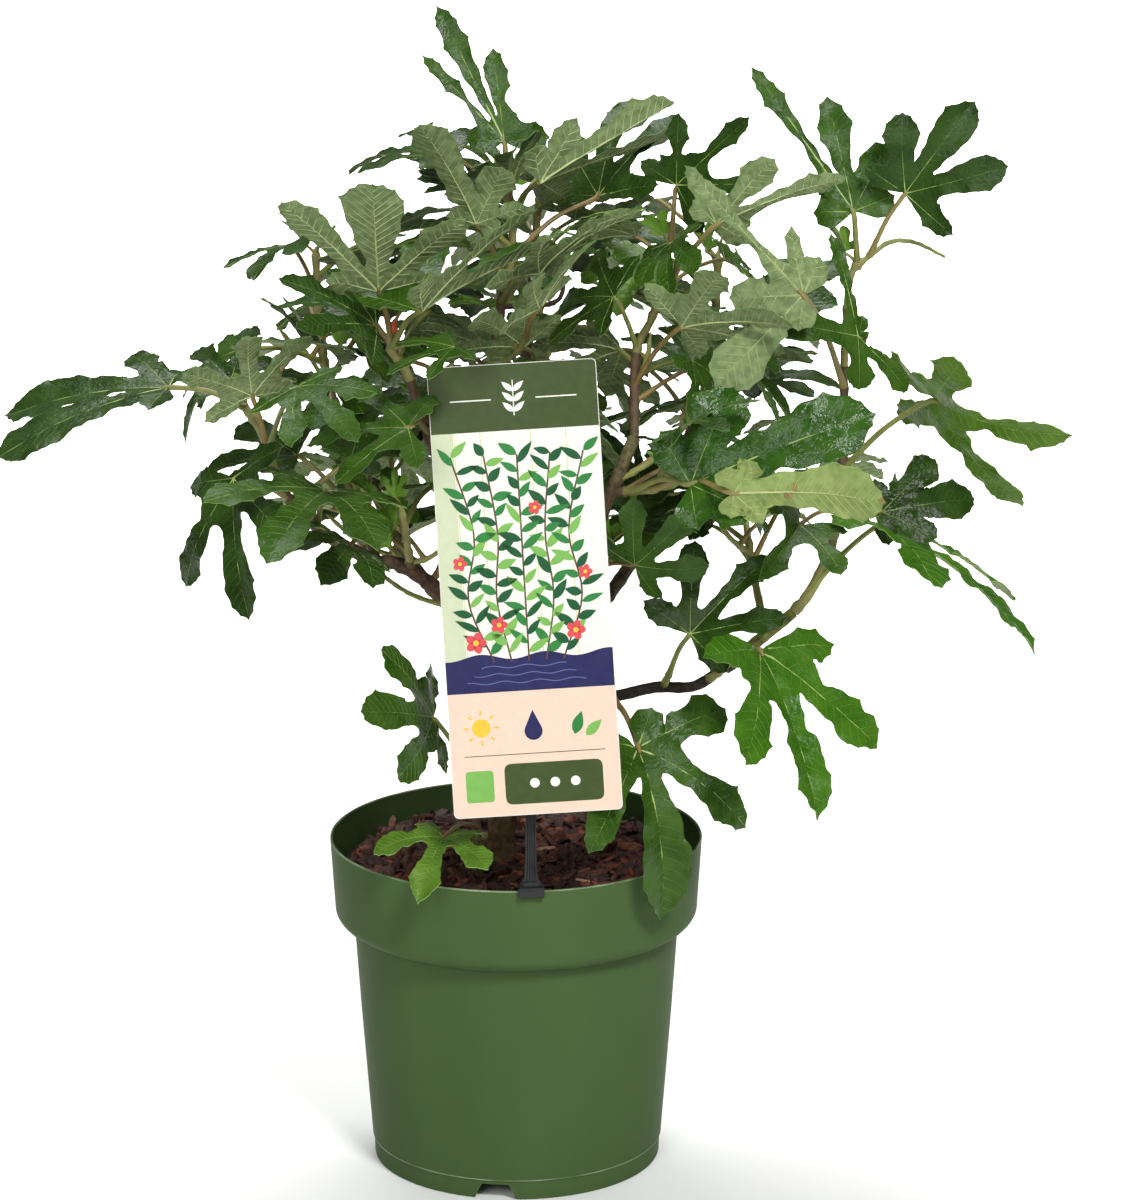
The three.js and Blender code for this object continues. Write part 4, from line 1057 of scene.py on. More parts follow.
class Blade:
    """One leaf blade: its flat net of triangles with its veins, and the relief that lifts it."""

    def __init__(self, plan, detail, rng):
        self.length = plan["blade"][2]
        self.size = self.length / USUAL_LENGTH
        self.lobes = lobes_of(plan)
        broad = 1 if "lobes" in plan else plan["broad"] or rng.uniform(*BROAD)
        self.outline = blade_outline(self.lobes, self.length, detail["edge"], broad, plan.get("web"), rng)
        self.sides, stations = side_veins(self.lobes, self.outline, detail["pitch"])
        self.mains = [
            turned([(s, 0) for s in row], angle) for (angle, _, _), row in zip(self.lobes, stations)
        ]
        first, middle, last = (self.sides[:, k, None] for k in range(3))
        self.side_dots = on_path(first, middle, last, np.linspace(0, 1, 6)[:, None]).reshape(-1, 2)
        self.main_dots = np.vstack([
            turned([(s * reach, 0) for s in np.linspace(0.01, 0.98, 30)], angle)
            for angle, reach, _ in self.lobes
        ])
        self.unrest(rng)
        self.net(detail["grid"] / self.length)

    def unrest(self, rng):
        """How the edge waves, and how much each lobe cups, curls and tilts, in mm."""
        step = np.linalg.norm(np.diff(self.outline, axis=0, append=self.outline[:1]), axis=1)
        arc = np.cumsum(step) * self.length
        waves = [(24 * self.size, 0.65), (12 * self.size, 0.35)]
        self.wave = sum(
            share * np.sin(2 * np.pi * arc / wavelength + rng.uniform(0, 6)) for wavelength, share in waves
        ) * 1.4 * self.size * rng.uniform(0.6, 1.3)
        self.cup = rng.uniform(-0.9, 1.6, len(self.lobes)) * self.size
        self.curl = rng.uniform(-0.5, 1.8, len(self.lobes)) * self.size
        self.tilt = rng.uniform(-1.6, 1.6, len(self.lobes)) * self.size

    def net(self, spacing):
        """Triangles over the blade, with an edge along every vein."""
        low, high = self.outline.min(0), self.outline.max(0)
        grid = []
        for i, y in enumerate(np.arange(low[1], high[1], spacing * 0.866)):
            row = np.arange(low[0] + (i % 2) * spacing / 2, high[0], spacing)
            grid.append(np.stack([row, np.full_like(row, y)], 1))
        grid = np.vstack(grid)
        lines = [*self.mains, *self.sides]
        fixed = np.vstack([self.outline, *lines])
        grid = grid[inside(grid, self.outline)]
        dots = np.vstack([fixed, self.side_dots, self.main_dots])
        grid = grid[nearest(grid, dots)[0] > 0.55 * spacing]
        edges, start = [], len(self.outline)
        for line in lines:
            edges.extend((start + k, start + k + 1) for k in range(len(line) - 1))
            start += len(line)
        rim = list(range(len(self.outline)))
        every = np.vstack([fixed, grid])
        found = delaunay_2d_cdt([Vector(p) for p in every.tolist()], edges, [rim], 1, 1e-5)
        self.flat = np.array([tuple(p) for p in found[0]])
        self.triangles = np.array([row for row in found[2] if len(row) == 3])

    def relief(self, points):
        """Millimetres by which the blade stands above its plain form: the veins lie in valleys between
        quilted fields, the edge waves, and each lobe cups and curls in its own way."""
        size = self.size
        to_main = nearest(points, self.main_dots)[0] * self.length
        to_side = nearest(points, self.side_dots)[0] * self.length
        to_edge, index = nearest(points, self.outline)
        quilt = 0.55 * size * (1 - np.exp(-(to_side / 1.9) ** 2)) * (1 - np.exp(-(to_main / 2.2) ** 2))
        valley = -0.7 * size * np.exp(-(to_main / 3.2) ** 2)
        wave = self.wave[index] * np.exp(-to_edge * self.length / (5 * size))
        angles, reaches, _ = np.array(self.lobes, float).T
        bearing = np.degrees(np.arctan2(points[:, 1], points[:, 0]))
        lobe = np.abs(bearing[:, None] - angles).argmin(1)
        axis = np.radians(angles)[lobe]
        along = points[:, 0] * np.cos(axis) + points[:, 1] * np.sin(axis)
        across = (points[:, 1] * np.cos(axis) - points[:, 0] * np.sin(axis)) / 0.16
        out = ease(np.hypot(*points.T), 0.22, 0.5)
        bend = out * (self.cup[lobe] * across ** 2 + self.tilt[lobe] * across)
        return quilt + valley + wave + bend - 3 * self.curl[lobe] * ease(along / reaches[lobe], 0.55, 1.05)


def closed_sheet(top, under, triangles):
    """A thin closed body from two layers of the same triangles."""
    count = len(top)
    edges = np.vstack([triangles[:, [0, 1]], triangles[:, [1, 2]], triangles[:, [2, 0]]])
    codes = edges[:, 0] * count + edges[:, 1]
    rim = edges[~np.isin(codes, edges[:, 1] * count + edges[:, 0])]
    sides = np.stack([rim[:, 1], rim[:, 0], rim[:, 0] + count, rim[:, 1] + count], 1)
    return np.vstack([top, under]), triangles, triangles[:, ::-1] + count, sides


def vein_ridges(shape, place, lines, widths, lift, side, proud, ink=0):
    """Low three-sided ridges along veins. lines is veins by stations by X and Y, and side is 1 above the
    blade or -1 below it."""
    veins, stations, _ = lines.shape
    step = np.gradient(lines, axis=1)
    step /= np.linalg.norm(step, axis=2)[..., None]
    beside = np.stack([-step[..., 1], step[..., 0]], 2) * widths[..., None] / 2
    skin = side * LEAF_THICKNESS / 2
    crest, root = skin + side * proud, skin - side * VEIN["sunk"]
    rows = []
    for offset, height in ((0, crest), (-1, root), (1, root)):
        flat = (lines + offset * beside).reshape(-1, 2)
        tall = np.broadcast_to(height, (veins, stations)).reshape(-1)
        rows.append(place(flat, lift.reshape(-1) + tall))
    points = np.stack(rows, 1).reshape(-1, 3)
    base = (np.arange(veins)[:, None] * stations + np.arange(stations - 1)[None]).reshape(-1) * 3
    order = (0, 1, 2) if side > 0 else (0, 2, 1)
    quads = [
        np.stack([base + a, base + b, base + 3 + b, base + 3 + a], 1)
        for a, b in zip(order, order[1:] + order[:1])
    ]
    first = np.arange(veins) * stations * 3
    last = first + (stations - 1) * 3
    caps = np.vstack([
        np.stack([first + order[0], first + order[2], first + order[1]], 1),
        np.stack([last + order[0], last + order[1], last + order[2]], 1),
    ])
    shape.add(points, [np.vstack(quads), caps], ink)


# Brown spots of the scorched leaf: their places on the blade and their radii, as shares of its length.
SCORCH = [((0.35, 0.03), 0.03), ((0.4, -0.03), 0.022), ((0.98, 0), 0.025)]
MOST_TRIANGLES = 150000          # a joined piece is closed once it holds this many


class Joined:
    """Shapes of one kind, joined into as few pieces as the limit on triangles allows."""

    def __init__(self):
        self.shapes = [Shape()]

    def room(self):
        if self.shapes[-1].triangles > MOST_TRIANGLES:
            self.shapes.append(Shape())
        return self.shapes[-1]

    def pieces(self, name, materials, slot):
        for i, shape in enumerate(self.shapes):
            if shape.size:
                piece(f"{name}_{i + 1}", shape, materials)


def add_blade(sheets, top_veins, under_veins, plan, foot, axes, detail, rng):
    """One leaf's sheet, with the veins on both of its sides."""
    blade = Blade(plan, detail, rng)
    scorched = plan.get("scorched", False)

    def place(flat, lift):
        return blade_points(plan, foot, axes, np.arctan2(flat[:, 1], flat[:, 0]), np.hypot(*flat.T), lift)

    middle = place(blade.flat, blade.relief(blade.flat))
    half = axes[2] * LEAF_THICKNESS / 2
    points, tops, unders, sides = closed_sheet(middle + half, middle - half, blade.triangles)
    burnt = np.zeros(len(tops), bool)
    if scorched:
        centres = blade.flat[blade.triangles].mean(1)
        for spot, size in SCORCH:
            burnt |= np.hypot(*(centres - spot).T) < size
    faces = [tops[~burnt], tops[burnt], sides, unders[~burnt], unders[burnt]]
    inks = (TOP, SCORCH_SPOT, FINE_VEIN, PALE_UNDER if scorched else UNDER, SCORCH_SPOT)
    sheets.room().add(points, faces, inks)

    runs = np.linspace(0.0, VEIN["end"], detail["stations"] + 1)
    mains = np.array([turned([(s * reach, 0) for s in runs], angle) for angle, reach, _ in blade.lobes])
    reaches = np.array([reach for _, reach, _ in blade.lobes])[:, None]
    main_widths = VEIN["main"] * (1.02 - runs[None]) * (0.45 + 0.55 * reaches)
    side_widths = np.broadcast_to(VEIN["side"] * np.array([1.25, 0.9, 0.4]), blade.sides.shape[:2])
    for lines, widths, shape, share, ink in (
        (mains, main_widths, top_veins.room(), 0.85, 0),
        (blade.sides, side_widths, sheets.room(), 0.7, FINE_VEIN),
    ):
        raised = blade.relief(lines.reshape(-1, 2)).reshape(lines.shape[:2])
        vein_ridges(shape, place, lines, widths * share, raised, 1, VEIN["proud_top"], ink)
        proud = np.minimum(VEIN["proud_under"] * widths * blade.length, VEIN["most_proud"])
        vein_ridges(under_veins.room(), place, lines, widths, raised, -1, proud)


# ---------------------------------------------------------------- shoots, petioles and buds

PETIOLE_TONES = {
    "green": ((112, 118, 56), (132, 136, 72)),
    "tan": ((128, 118, 64), (146, 132, 78)),
    "red": ((118, 98, 54), (138, 116, 66)),
}
PETIOLE_RADII = [(0, 2.6), (0.07, 2.0), (0.3, 1.65), (0.8, 1.5), (0.93, 1.7), (1, 0.9)]
SHOOT_SIDES = 12
TWIG_SIDES = 8
PETIOLE_SIDES = 8
SHEATH = {"length": 9, "steps": 9}   # what is wrapped round a shoot's tip
RED_BUDS = ("centre_left_foliage", "centre_right_foliage")
# The stretch of a shoot that has turned to brown wood, as shares of its length.
WOODY = {
    "right_foliage": (0.36, 0.68), "centre_left_foliage": (0, 0.55), "centre_right_foliage": (0, 0.4),
    "left_foliage": (0, 0.45), "centre_foliage": (0, 0.3),
}
WOODY_ELSEWHERE = (0, 0.2)
JOINT = {"rise": 0.55, "width": 2.4, "groove": 0.25, "past": 3, "narrow": 0.9}
BUD_TAPER = [(0, 0.12), (0.35, 0.8), (0.7, 1.15), (1, 1)]
SHEATH_RADII = [(0, 0.9), (0.3, 1.4), (0.7, 0.95), (1, 0.15)]
STUBS = [
    {
        "on": "right_foliage", "at": 0.99, "radius": (1.6, 0.9),
        "legs": [(0, 35, 16), (0, 0, 12), (0, -25, 20)], "colours": ((112, 122, 62), (136, 140, 84)),
    },
    {
        "on": "centre_foliage", "at": 0.22, "radius": (1.6, 1.1),
        "legs": [(-10, 10, 33), (0, 88, 24)], "colours": ((48, 38, 28), (70, 54, 38)),
    },
    {
        "on": "trunk", "at": 0.1, "radius": (2.4, 2.2),
        "legs": [(180, 10, 9), (180, 10, 5)], "colours": ((150, 134, 96), (172, 156, 116)),
    },
]


def profile(rows, shares):
    return np.interp(shares, [row[0] for row in rows], [row[1] for row in rows])


def add_petiole(shape, shoot, plan):
    start, middle, foot, axes = leaf_place(shoot, plan)
    size = min(1, 0.45 + plan["blade"][2] / 140)
    along, _, face = axes
    on_rib = foot + along * 0.04 * plan["blade"][2] - face * 0.6
    curve = Curve([start, middle, foot - face * 0.5, on_rib])
    centres = curve.spaced(4.5, 6)
    radii = profile(PETIOLE_RADII, np.linspace(0, 1, len(centres))) * size
    shape.add(*sweep(centres, radii, PETIOLE_SIDES))


def add_shoot(shape, curve, radius, joints, rng, sides, woody=(0, 0)):
    """A shoot, thicker at the joints where leaves sit, that ends in a pointed bud. woody is the stretch of
    it that has turned brown, as shares of its length."""
    centres = curve.spaced(1.8)
    runs = np.linspace(0, curve.length, len(centres))
    radii = radius[0] + (radius[1] - radius[0]) * runs / curve.length
    for joint in joints:
        gap = runs - joint * curve.length
        radii = radii + JOINT["rise"] * np.exp(-(gap / JOINT["width"]) ** 2)
        radii = radii - JOINT["groove"] * np.exp(-((gap - JOINT["past"]) / JOINT["narrow"]) ** 2)
    from_tip = curve.length - runs
    radii = radii * np.where(from_tip < BUD_LENGTH, profile(BUD_TAPER, from_tip / BUD_LENGTH), 1)
    points, (quads, caps) = sweep(centres, radii, sides, 0.12 * rng.normal(size=(len(centres), sides)))
    shares = np.arange(len(quads)) // sides / (len(centres) - 1)
    brown = (shares >= woody[0]) & (shares < woody[1])
    shape.add(points, [quads[~brown], quads[brown], caps], (0, 1, 0))


def add_bud(shape, curve, radius, ink):
    """The pointed sheath round a shoot's tip."""
    run = np.linspace(0, 1, SHEATH["steps"])
    centres = curve.along(1 - SHEATH["length"] * (1 - run) / curve.length)
    shape.add(*sweep(centres, radius * profile(SHEATH_RADII, run), SHOOT_SIDES), ink)


def make_stubs():
    """What is left of side shoots that tore or were cut off."""
    shape = Shape()
    finishes = []
    rng = np.random.default_rng(STUB_SEED)
    for ink, stub in enumerate(STUBS):
        on = stub["on"]
        parent = limb_curve(on) if on in LIMBS else shoot_curve(MASSES[on])
        centres = curve_of(parent.point(stub["at"]), stub["legs"]).spaced(1.5)
        radii = np.linspace(*stub["radius"], len(centres))
        rough = 0.16 * rng.normal(size=(len(centres), SHOOT_SIDES))
        shape.add(*sweep(centres, radii, SHOOT_SIDES, rough), ink)
        finishes.append(finish_of(f"stub_{ink}", *stub["colours"], 260, (0.6, 0.8), 900, 0.3))
    piece("stubs", shape, finishes)


# ---------------------------------------------------------------- bark

LIMB_SIDES = 24
# The ring scars: about how far apart they are, their swelling, and the dark groove just past it.
RING = {
    "every": 15, "wander": 4, "rise": 0.45, "width": 1.9, "groove": 0.22, "past": 2.6, "narrow": 0.8,
    "shade": 0.42, "shade_past": 2.2,
}
COLLAR = {"rise": 1.2, "width": 5}   # the swelling at a bough's foot
BROWN, DARK, RED_BROWN = (84, 66, 48), (50, 37, 29), (92, 62, 46)
OLIVE, GREEN_WOOD, GREY_BROWN = (104, 100, 62), (128, 130, 68), (98, 86, 66)
# The colour of each limb, from its foot to its tip: shares of its length and colours.
BARK_TINTS = {
    "trunk": [(0, (128, 98, 70)), (0.5, (110, 90, 64)), (1, BROWN)],
    "right_bough": [(0, DARK), (0.5, (44, 34, 26)), (1, (52, 42, 30))],
    "right_bough_upper": [
        (0, (52, 42, 30)), (0.35, (92, 90, 46)), (0.65, (122, 126, 56)), (1, (126, 130, 58)),
    ],
    "left_bough": [(0, DARK), (0.35, RED_BROWN), (0.8, BROWN), (1, OLIVE)],
    "centre_left_bough": [(0, BROWN), (1, DARK)],
    "centre_right_bough": [(0, BROWN), (0.6, RED_BROWN), (1, OLIVE)],
    "back_left_bough": [(0, BROWN), (1, OLIVE)],
    "back_right_bough": [(0, DARK), (1, GREY_BROWN)],
    "centre_bough": [(0, BROWN), (0.7, GREY_BROWN), (1, OLIVE)],
    "back_bough": [(0, BROWN), (1, OLIVE)],
    "sucker": [(0, OLIVE), (1, (134, 140, 76))],
}
# Where a bough's bark is young and smooth: its radius as a share of the solid's, and its relief's strength.
SMOOTH = {"right_bough": (0.72, 0.4), "right_bough_upper": (0.92, 0.5)}


def bark_along(name, plan, runs, length, rings):
    """A limb's radius and shade along its length: its taper, the swelling at its foot and its rings."""
    slim, strength = SMOOTH.get(name, (1, 1))
    first, last = plan["radius"]
    radii = slim * (first + (last - first) * (runs / length))
    if "foot" in plan:
        radii = radii + plan["flare"] * np.maximum(0, 1 - runs / FLARE_HEIGHT) ** 2
    else:
        parent_radius = LIMBS[plan["parent"]]["radius"][1]
        radii = radii + COLLAR["rise"] * np.exp(-((runs - parent_radius) / COLLAR["width"]) ** 2)
    shade = np.ones(len(runs))
    scale = strength * first / 5
    for ring in rings:
        gap = runs - ring
        swelling = RING["rise"] * np.exp(-(gap / RING["width"]) ** 2)
        groove = RING["groove"] * np.exp(-((gap - RING["past"]) / RING["narrow"]) ** 2)
        radii = radii + scale * (swelling - groove)
        shade = shade - RING["shade"] * np.exp(-(gap - RING["shade_past"]) ** 2)
    return radii, shade, scale


def bark_around(radius, runs, rings, shade, scale, seed):
    """How far each point of the bark stands out and how light it is: leaf scars, fissures and lumps."""
    turns = 2 * np.pi * np.arange(LIMB_SIDES) / LIMB_SIDES
    relief = np.zeros((len(runs), LIMB_SIDES))
    depth = np.repeat(shade[:, None], LIMB_SIDES, axis=1)
    for k, ring in enumerate(rings):
        bearing = math.radians(FILL["turn"] * k)
        around = np.abs((turns - bearing + np.pi) % (2 * np.pi) - np.pi)[None] * radius
        scar = np.exp(-((np.hypot(around, runs[:, None] - ring) / (0.4 * radius)) ** 2))
        relief += 0.55 * scale * scar
        depth -= 0.2 * scar
    for i, run in enumerate(runs):
        for k, turn in enumerate(turns):
            east, north = math.cos(turn), math.sin(turn)
            fissure = noise.noise(Vector((east * 1.6, north * 1.6, run / 11)) * 2.2 + Vector((seed, 0, 0)))
            lump = noise.noise(Vector((east, north, run / 6)) * 1.1 + Vector((0, seed, 0)))
            relief[i, k] += scale * (0.34 * fissure + 0.5 * lump)
            depth[i, k] += 0.5 * fissure
    return relief, depth


def limb_piece(name, plan, seed, bark):
    """A limb with the relief and the colours of its bark."""
    rng = np.random.default_rng(seed)
    curve = limb_curve(name)
    centres = curve.spaced(1.6)
    runs = np.linspace(0, curve.length, len(centres))
    rings = np.arange(RING["every"] * 0.7, curve.length - 4, RING["every"])
    rings = rings + rng.uniform(-RING["wander"], RING["wander"], len(rings))
    radii, shade, scale = bark_along(name, plan, runs, curve.length, rings)
    relief, depth = bark_around(plan["radius"][0], runs, rings, shade, scale, seed)
    places = [place for place, _ in BARK_TINTS[name]]
    channels = zip(*(linear(colour) for _, colour in BARK_TINTS[name]))
    base = np.stack([np.interp(runs / curve.length, places, channel) for channel in channels], 1)
    tint = (base[:, None] * np.clip(depth, 0.3, 1.5)[..., None]).reshape(-1, 3)
    shape = Shape()
    shape.add(*sweep(centres, radii, LIMB_SIDES, relief), tint=np.vstack([tint, base[:1], base[-1:]]))
    piece(f"bark_{name}", shape, [bark], [name])


# ---------------------------------------------------------------- pot, soil and bark chips


def lathe(shape, profile_points, sides):
    """A closed solid of revolution from radius and height pairs that start and end on the axis."""
    ring = np.array(profile_points[1:-1])
    turns = 2 * np.pi * np.arange(sides) / sides
    points = np.stack([
        np.outer(ring[:, 0], np.cos(turns)), np.outer(ring[:, 0], np.sin(turns)),
        np.repeat(ring[:, 1:], sides, axis=1),
    ], 2).reshape(-1, 3)
    poles = [(0, 0, profile_points[0][1]), (0, 0, profile_points[-1][1])]
    shape.add(np.vstack([points, poles]), [ring_faces(len(ring), sides), pole_faces(len(ring), sides)])


# The collar turns in to the neck in a quarter round: the height where it ends, and how far out of the
# neck that is.
SHOULDER = {"foot": 139, "out": 0.4}
WALL_POINTS = [(2.9, 49.5), (5.8, 87.5)]     # how far the wall has widened from the step at two heights
FOOT_ROUND = 0.9                 # how large the rounding under the foot is


def pot_inside(margin):
    """The inner wall from the collar down to the middle of the floor, drawn in by a margin."""
    wall = POT["wall"] + margin
    neck, high = POT["neck_radius"] + SHOULDER["out"], POT["collar_foot_height"]
    across, down = POT["collar_foot_radius"] - neck - wall, high - SHOULDER["foot"] - wall
    return [
        *((neck + across * math.cos(a), high - down * math.sin(a)) for a in np.radians((0, 30, 60, 90))),
        (POT["neck_radius"] - wall, SHOULDER["foot"] - 0.5),
        (POT["step_radius"] - wall, POT["step_height"] + margin),
        (POT["channel_inner"] + 1, POT["channel_top"] + POT["floor"] + margin),
        (POT["pad_radius"] - 1, POT["floor"] + margin),
        (0, POT["floor"] + margin),
    ]


def pot_profile():
    """Radius and height pairs from under the pot's middle, up its outside, over the lip and down inside."""
    neck, collar = POT["neck_radius"] + SHOULDER["out"], POT["collar_foot_radius"]
    low, high = SHOULDER["foot"], POT["collar_foot_height"]
    shoulder = [
        (neck + (collar - neck) * math.sin(a), high - (high - low) * math.cos(a))
        for a in np.radians(np.arange(8, 91, 82 / 12))
    ]
    half = POT["lip_width"] / 2
    lip = [
        (POT["rim_radius"] - half + half * math.cos(a), POT["height"] - half + half * math.sin(a))
        for a in np.radians(np.arange(0, 181, 22.5))
    ]
    foot, step, step_height = POT["foot_radius"], POT["step_radius"], POT["step_height"]
    return [
        (0, 0), (POT["pad_radius"], 0), (POT["channel_inner"], POT["channel_top"]),
        (POT["channel_outer"], POT["channel_top"]), (POT["channel_outer"] + POT["channel_slope"], 0),
        (foot - FOOT_ROUND, 0), (foot - 0.25 * FOOT_ROUND, 0.3 * FOOT_ROUND), (foot, FOOT_ROUND),
        (step - POT["step_depth"], step_height - 1.2), (step - 0.15, step_height - 0.7),
        (step, step_height),
        *((step + out, height) for out, height in WALL_POINTS),
        (neck, low - 1.2), (neck, low),
        *shoulder,
        *lip,
        *pot_inside(0),
    ]


def rounded(corners, radius, steps=4):
    """A polygon with its corners rounded. radius is one number, or one for each corner."""
    corners = [np.array(c, float) for c in corners]
    radii = radius if isinstance(radius, (list, tuple)) else [radius] * len(corners)
    outline = []
    for i, corner in enumerate(corners):
        if radii[i] <= 0:
            outline.append(corner)
            continue
        back = corners[i - 1] - corner
        on = corners[(i + 1) % len(corners)] - corner
        back, on = back / np.linalg.norm(back), on / np.linalg.norm(on)
        half = math.acos(np.clip(back @ on, -1, 1)) / 2
        reach = radii[i] / math.tan(half)
        start, end = corner + back * reach, corner + on * reach
        for t in np.linspace(0, 1, steps + 1):
            outline.append((1 - t) ** 2 * start + 2 * t * (1 - t) * corner + t ** 2 * end)
    return np.array(outline)


def prism(shape, outline, place, front, back, ink=0):
    """A solid between two copies of a flat outline. place turns X, depth and Z into the model's frame."""
    count = len(outline)
    layers = [np.stack([outline[:, 0], np.full(count, depth), outline[:, 1]], 1) for depth in (front, back)]
    points = place(np.vstack(layers))
    k = np.arange(count)
    on = (k + 1) % count
    sides = np.stack([on, k, k + count, on + count], 1)
    turn = np.sum(outline[:, 0] * np.roll(outline[:, 1], -1) - np.roll(outline[:, 0], -1) * outline[:, 1])
    caps = [k[None], k[None, ::-1] + count]
    if (turn > 0) == (front > back):
        sides, caps = sides[:, ::-1], [cap[:, ::-1] for cap in caps]
    shape.add(points, [sides, *caps], ink)


def boolean_cut(thing, cutter_shape):
    """Cuts a piece by a shape, and leaves the result in its mesh."""
    cutter_mesh = bpy.data.meshes.new("cutter")
    cutter_mesh.from_pydata((np.vstack(cutter_shape.points) * MM).tolist(), [], cutter_shape.faces)
    cutter = bpy.data.objects.new("cutter", cutter_mesh)
    bpy.context.scene.collection.objects.link(cutter)
    cut = thing.modifiers.new("cut", "BOOLEAN")
    cut.operation, cut.object, cut.solver = "DIFFERENCE", cutter, "EXACT"
    graph = bpy.context.evaluated_depsgraph_get()
    made = bpy.data.meshes.new_from_object(thing.evaluated_get(graph))
    thing.modifiers.clear()
    thing.data = made
    bpy.data.objects.remove(cutter)
    made.shade_smooth()
    made.set_sharp_from_angle(angle=math.radians(35))


def turned_out(compass, radius, height=0.0):
    """Places X, depth and Z at a compass angle round the pot, with depth pointing inwards."""
    out = heading(compass, 0)
    beside = np.array([-out[1], out[0], 0])

    def place(points):
        across, depth, up = points[:, :1], points[:, 1:2], points[:, 2:]
        return across * beside + (radius - depth) * out + (up + height) * np.array([0, 0, 1])

    return place


def add_notches(cutter):
    wide, narrow, tall = NOTCH["bottom_width"] / 2, NOTCH["top_width"] / 2, NOTCH["height"] - 1
    corners = [(-wide - 1, -3), (wide + 1, -3), (narrow, tall), (-narrow, tall)]
    outline = rounded(corners, [0, 0, NOTCH["corner"], NOTCH["corner"]])
    depth = NOTCH["reach"] + 2
    for i in range(NOTCH["count"]):
        compass = NOTCH["first"] + 360 / NOTCH["count"] * i
        prism(cutter, outline, turned_out(compass, POT["channel_outer"] - 5 + depth), 0, depth)


def add_drains(cutter):
    angles = np.radians(np.arange(0, 360, 15))
    circle = np.array([(DRAIN["radius"] * math.cos(a), DRAIN["radius"] * math.sin(a)) for a in angles])
    low, high = POT["channel_top"] - 3, POT["channel_top"] + 2 * POT["floor"]
    for i in range(DRAIN["count"]):
        centre = heading(DRAIN["first"] + 360 / DRAIN["count"] * i, 0) * DRAIN["circle"]
        prism(cutter, circle + centre[:2], lambda p: p[:, [0, 2, 1]], low, high)


def paint_lip_sheen_and_step_wear(pot, sheen_and_wear):
    """The top of the lip is painted pale as a highlight, and the edge of the step is rubbed pale by wear.
    """
    pot.data.materials.append(sheen_and_wear)
    lip, step = POT["height"] - POT["lip_width"] / 2, POT["step_height"] - 0.4
    for face in pot.data.polygons:
        height = face.center[2] / MM
        # Faces on the lip's top take the painted highlight, and faces along the step's edge take the pale
        # wear.
        if height > lip or abs(height - step) < 0.45 and face.normal[2] > -0.5:
            face.material_index = 1


def make_pot(plastic, sheen_and_wear):
    shape, cutter = Shape(), Shape()
    lathe(shape, pot_profile(), POT["sides"])
    pot = piece("nursery_pot", shape, [plastic], ["pot"], sharp=35)
    add_notches(cutter)
    add_drains(cutter)
    boolean_cut(pot, cutter)
    paint_lip_sheen_and_step_wear(pot, sheen_and_wear)


CHIP = {
    "pitch": 6.6, "wander": 0.45, "length": (8, 22), "width": (4.5, 11), "thick": (1.0, 3.0), "tilt": 26,
    "layers": 2, "layer_rise": 2.2, "lift": (-0.8, 1.6), "left_out": 0.45,
}
CHIP_TONES = ["dark"] * 6 + ["brown"] * 4 + ["red"] * 2
# Single chips on top of the rest: tone, place, compass, size and tilt.
LOOSE_CHIPS = [
    ("pale", (17, 10), 10, (13, 2, 1.3), (0.05, -0.06)),
    ("pale", (-31, -22), 60, (9, 2.5, 1.3), (0.05, -0.06)),
    ("pale", (-52, -35), -35, (12, 1.6, 1.3), (0.05, -0.06)),
    ("pale", (38, -50), 160, (9, 1.4, 1.3), (0.05, -0.06)),
    ("red", (1, -40), 20, (10, 9, 3), (0.5, 0.1)),
]
LOOSE_LIFT = 4.5


def make_soil(earth):
    """The bed of soil under the chips, which fills the pot."""
    shape = Shape()
    under = SOIL["top"] - 1
    surface = [(share * POT["rim_radius"], under) for share in (0, 0.3, 0.55)]
    surface.append((0.8 * POT["rim_radius"], SOIL["top"] + SOIL["crown"] - 1))
    surface.append((POT["collar_foot_radius"] - SOIL["edge_gap"], SOIL["top"] - SOIL["edge_dip"]))
    lathe(shape, [*pot_inside(GAP)[::-1], *surface[::-1]], POT["sides"] // 2)
    piece("soil_bed", shape, [earth], ["potting_soil"])


def add_chip(shape, centre, size, compass, tilt, rng):
    """A split chip of bark: an angular plate with a broken edge, bent a little along its grain."""
    length, width, thick = size
    count = int(rng.integers(4, 8))
    turns = np.sort(2 * np.pi * (np.arange(count) + rng.uniform(-0.3, 0.3, count)) / count)
    reach = rng.uniform(0.75, 1.1, count)
    rim = np.stack([np.cos(turns) * reach * length / 2, np.sin(turns) * reach * width / 2], 1)
    bend = rng.uniform(-0.012, 0.012)
    insets = (0.9, 1, rng.uniform(0.94, 1.0), rng.uniform(0.8, 0.93))
    layers = []
    for height, inset in zip((-0.5, -0.3, 0.3, 0.5), insets):
        ring = rim * inset
        rough = rng.uniform(-0.14, 0.14, count) * thick
        layers.append(np.column_stack([ring, height * thick + rough + bend * ring[:, 0] ** 2]))
    turn = np.array(Euler((tilt[0], tilt[1], compass)).to_matrix())
    k = np.arange(count)
    top = (len(layers) - 1) * count
    faces = [ring_faces(len(layers), count), k[None, ::-1], k[None] + top]
    shape.add(np.vstack(layers) @ turn.T + centre, faces)


def soil_height(radius):
    """The soil rises from a shallow bowl round the trunk to a ridge, and falls to the wall."""
    rise = ease(radius, SOIL["bowl"], SOIL["ridge"])
    fall = ease(radius, SOIL["ridge"], POT["collar_foot_radius"] - SOIL["edge_gap"])
    return SOIL["top"] + SOIL["crown"] * rise - (SOIL["crown"] + SOIL["edge_dip"]) * fall


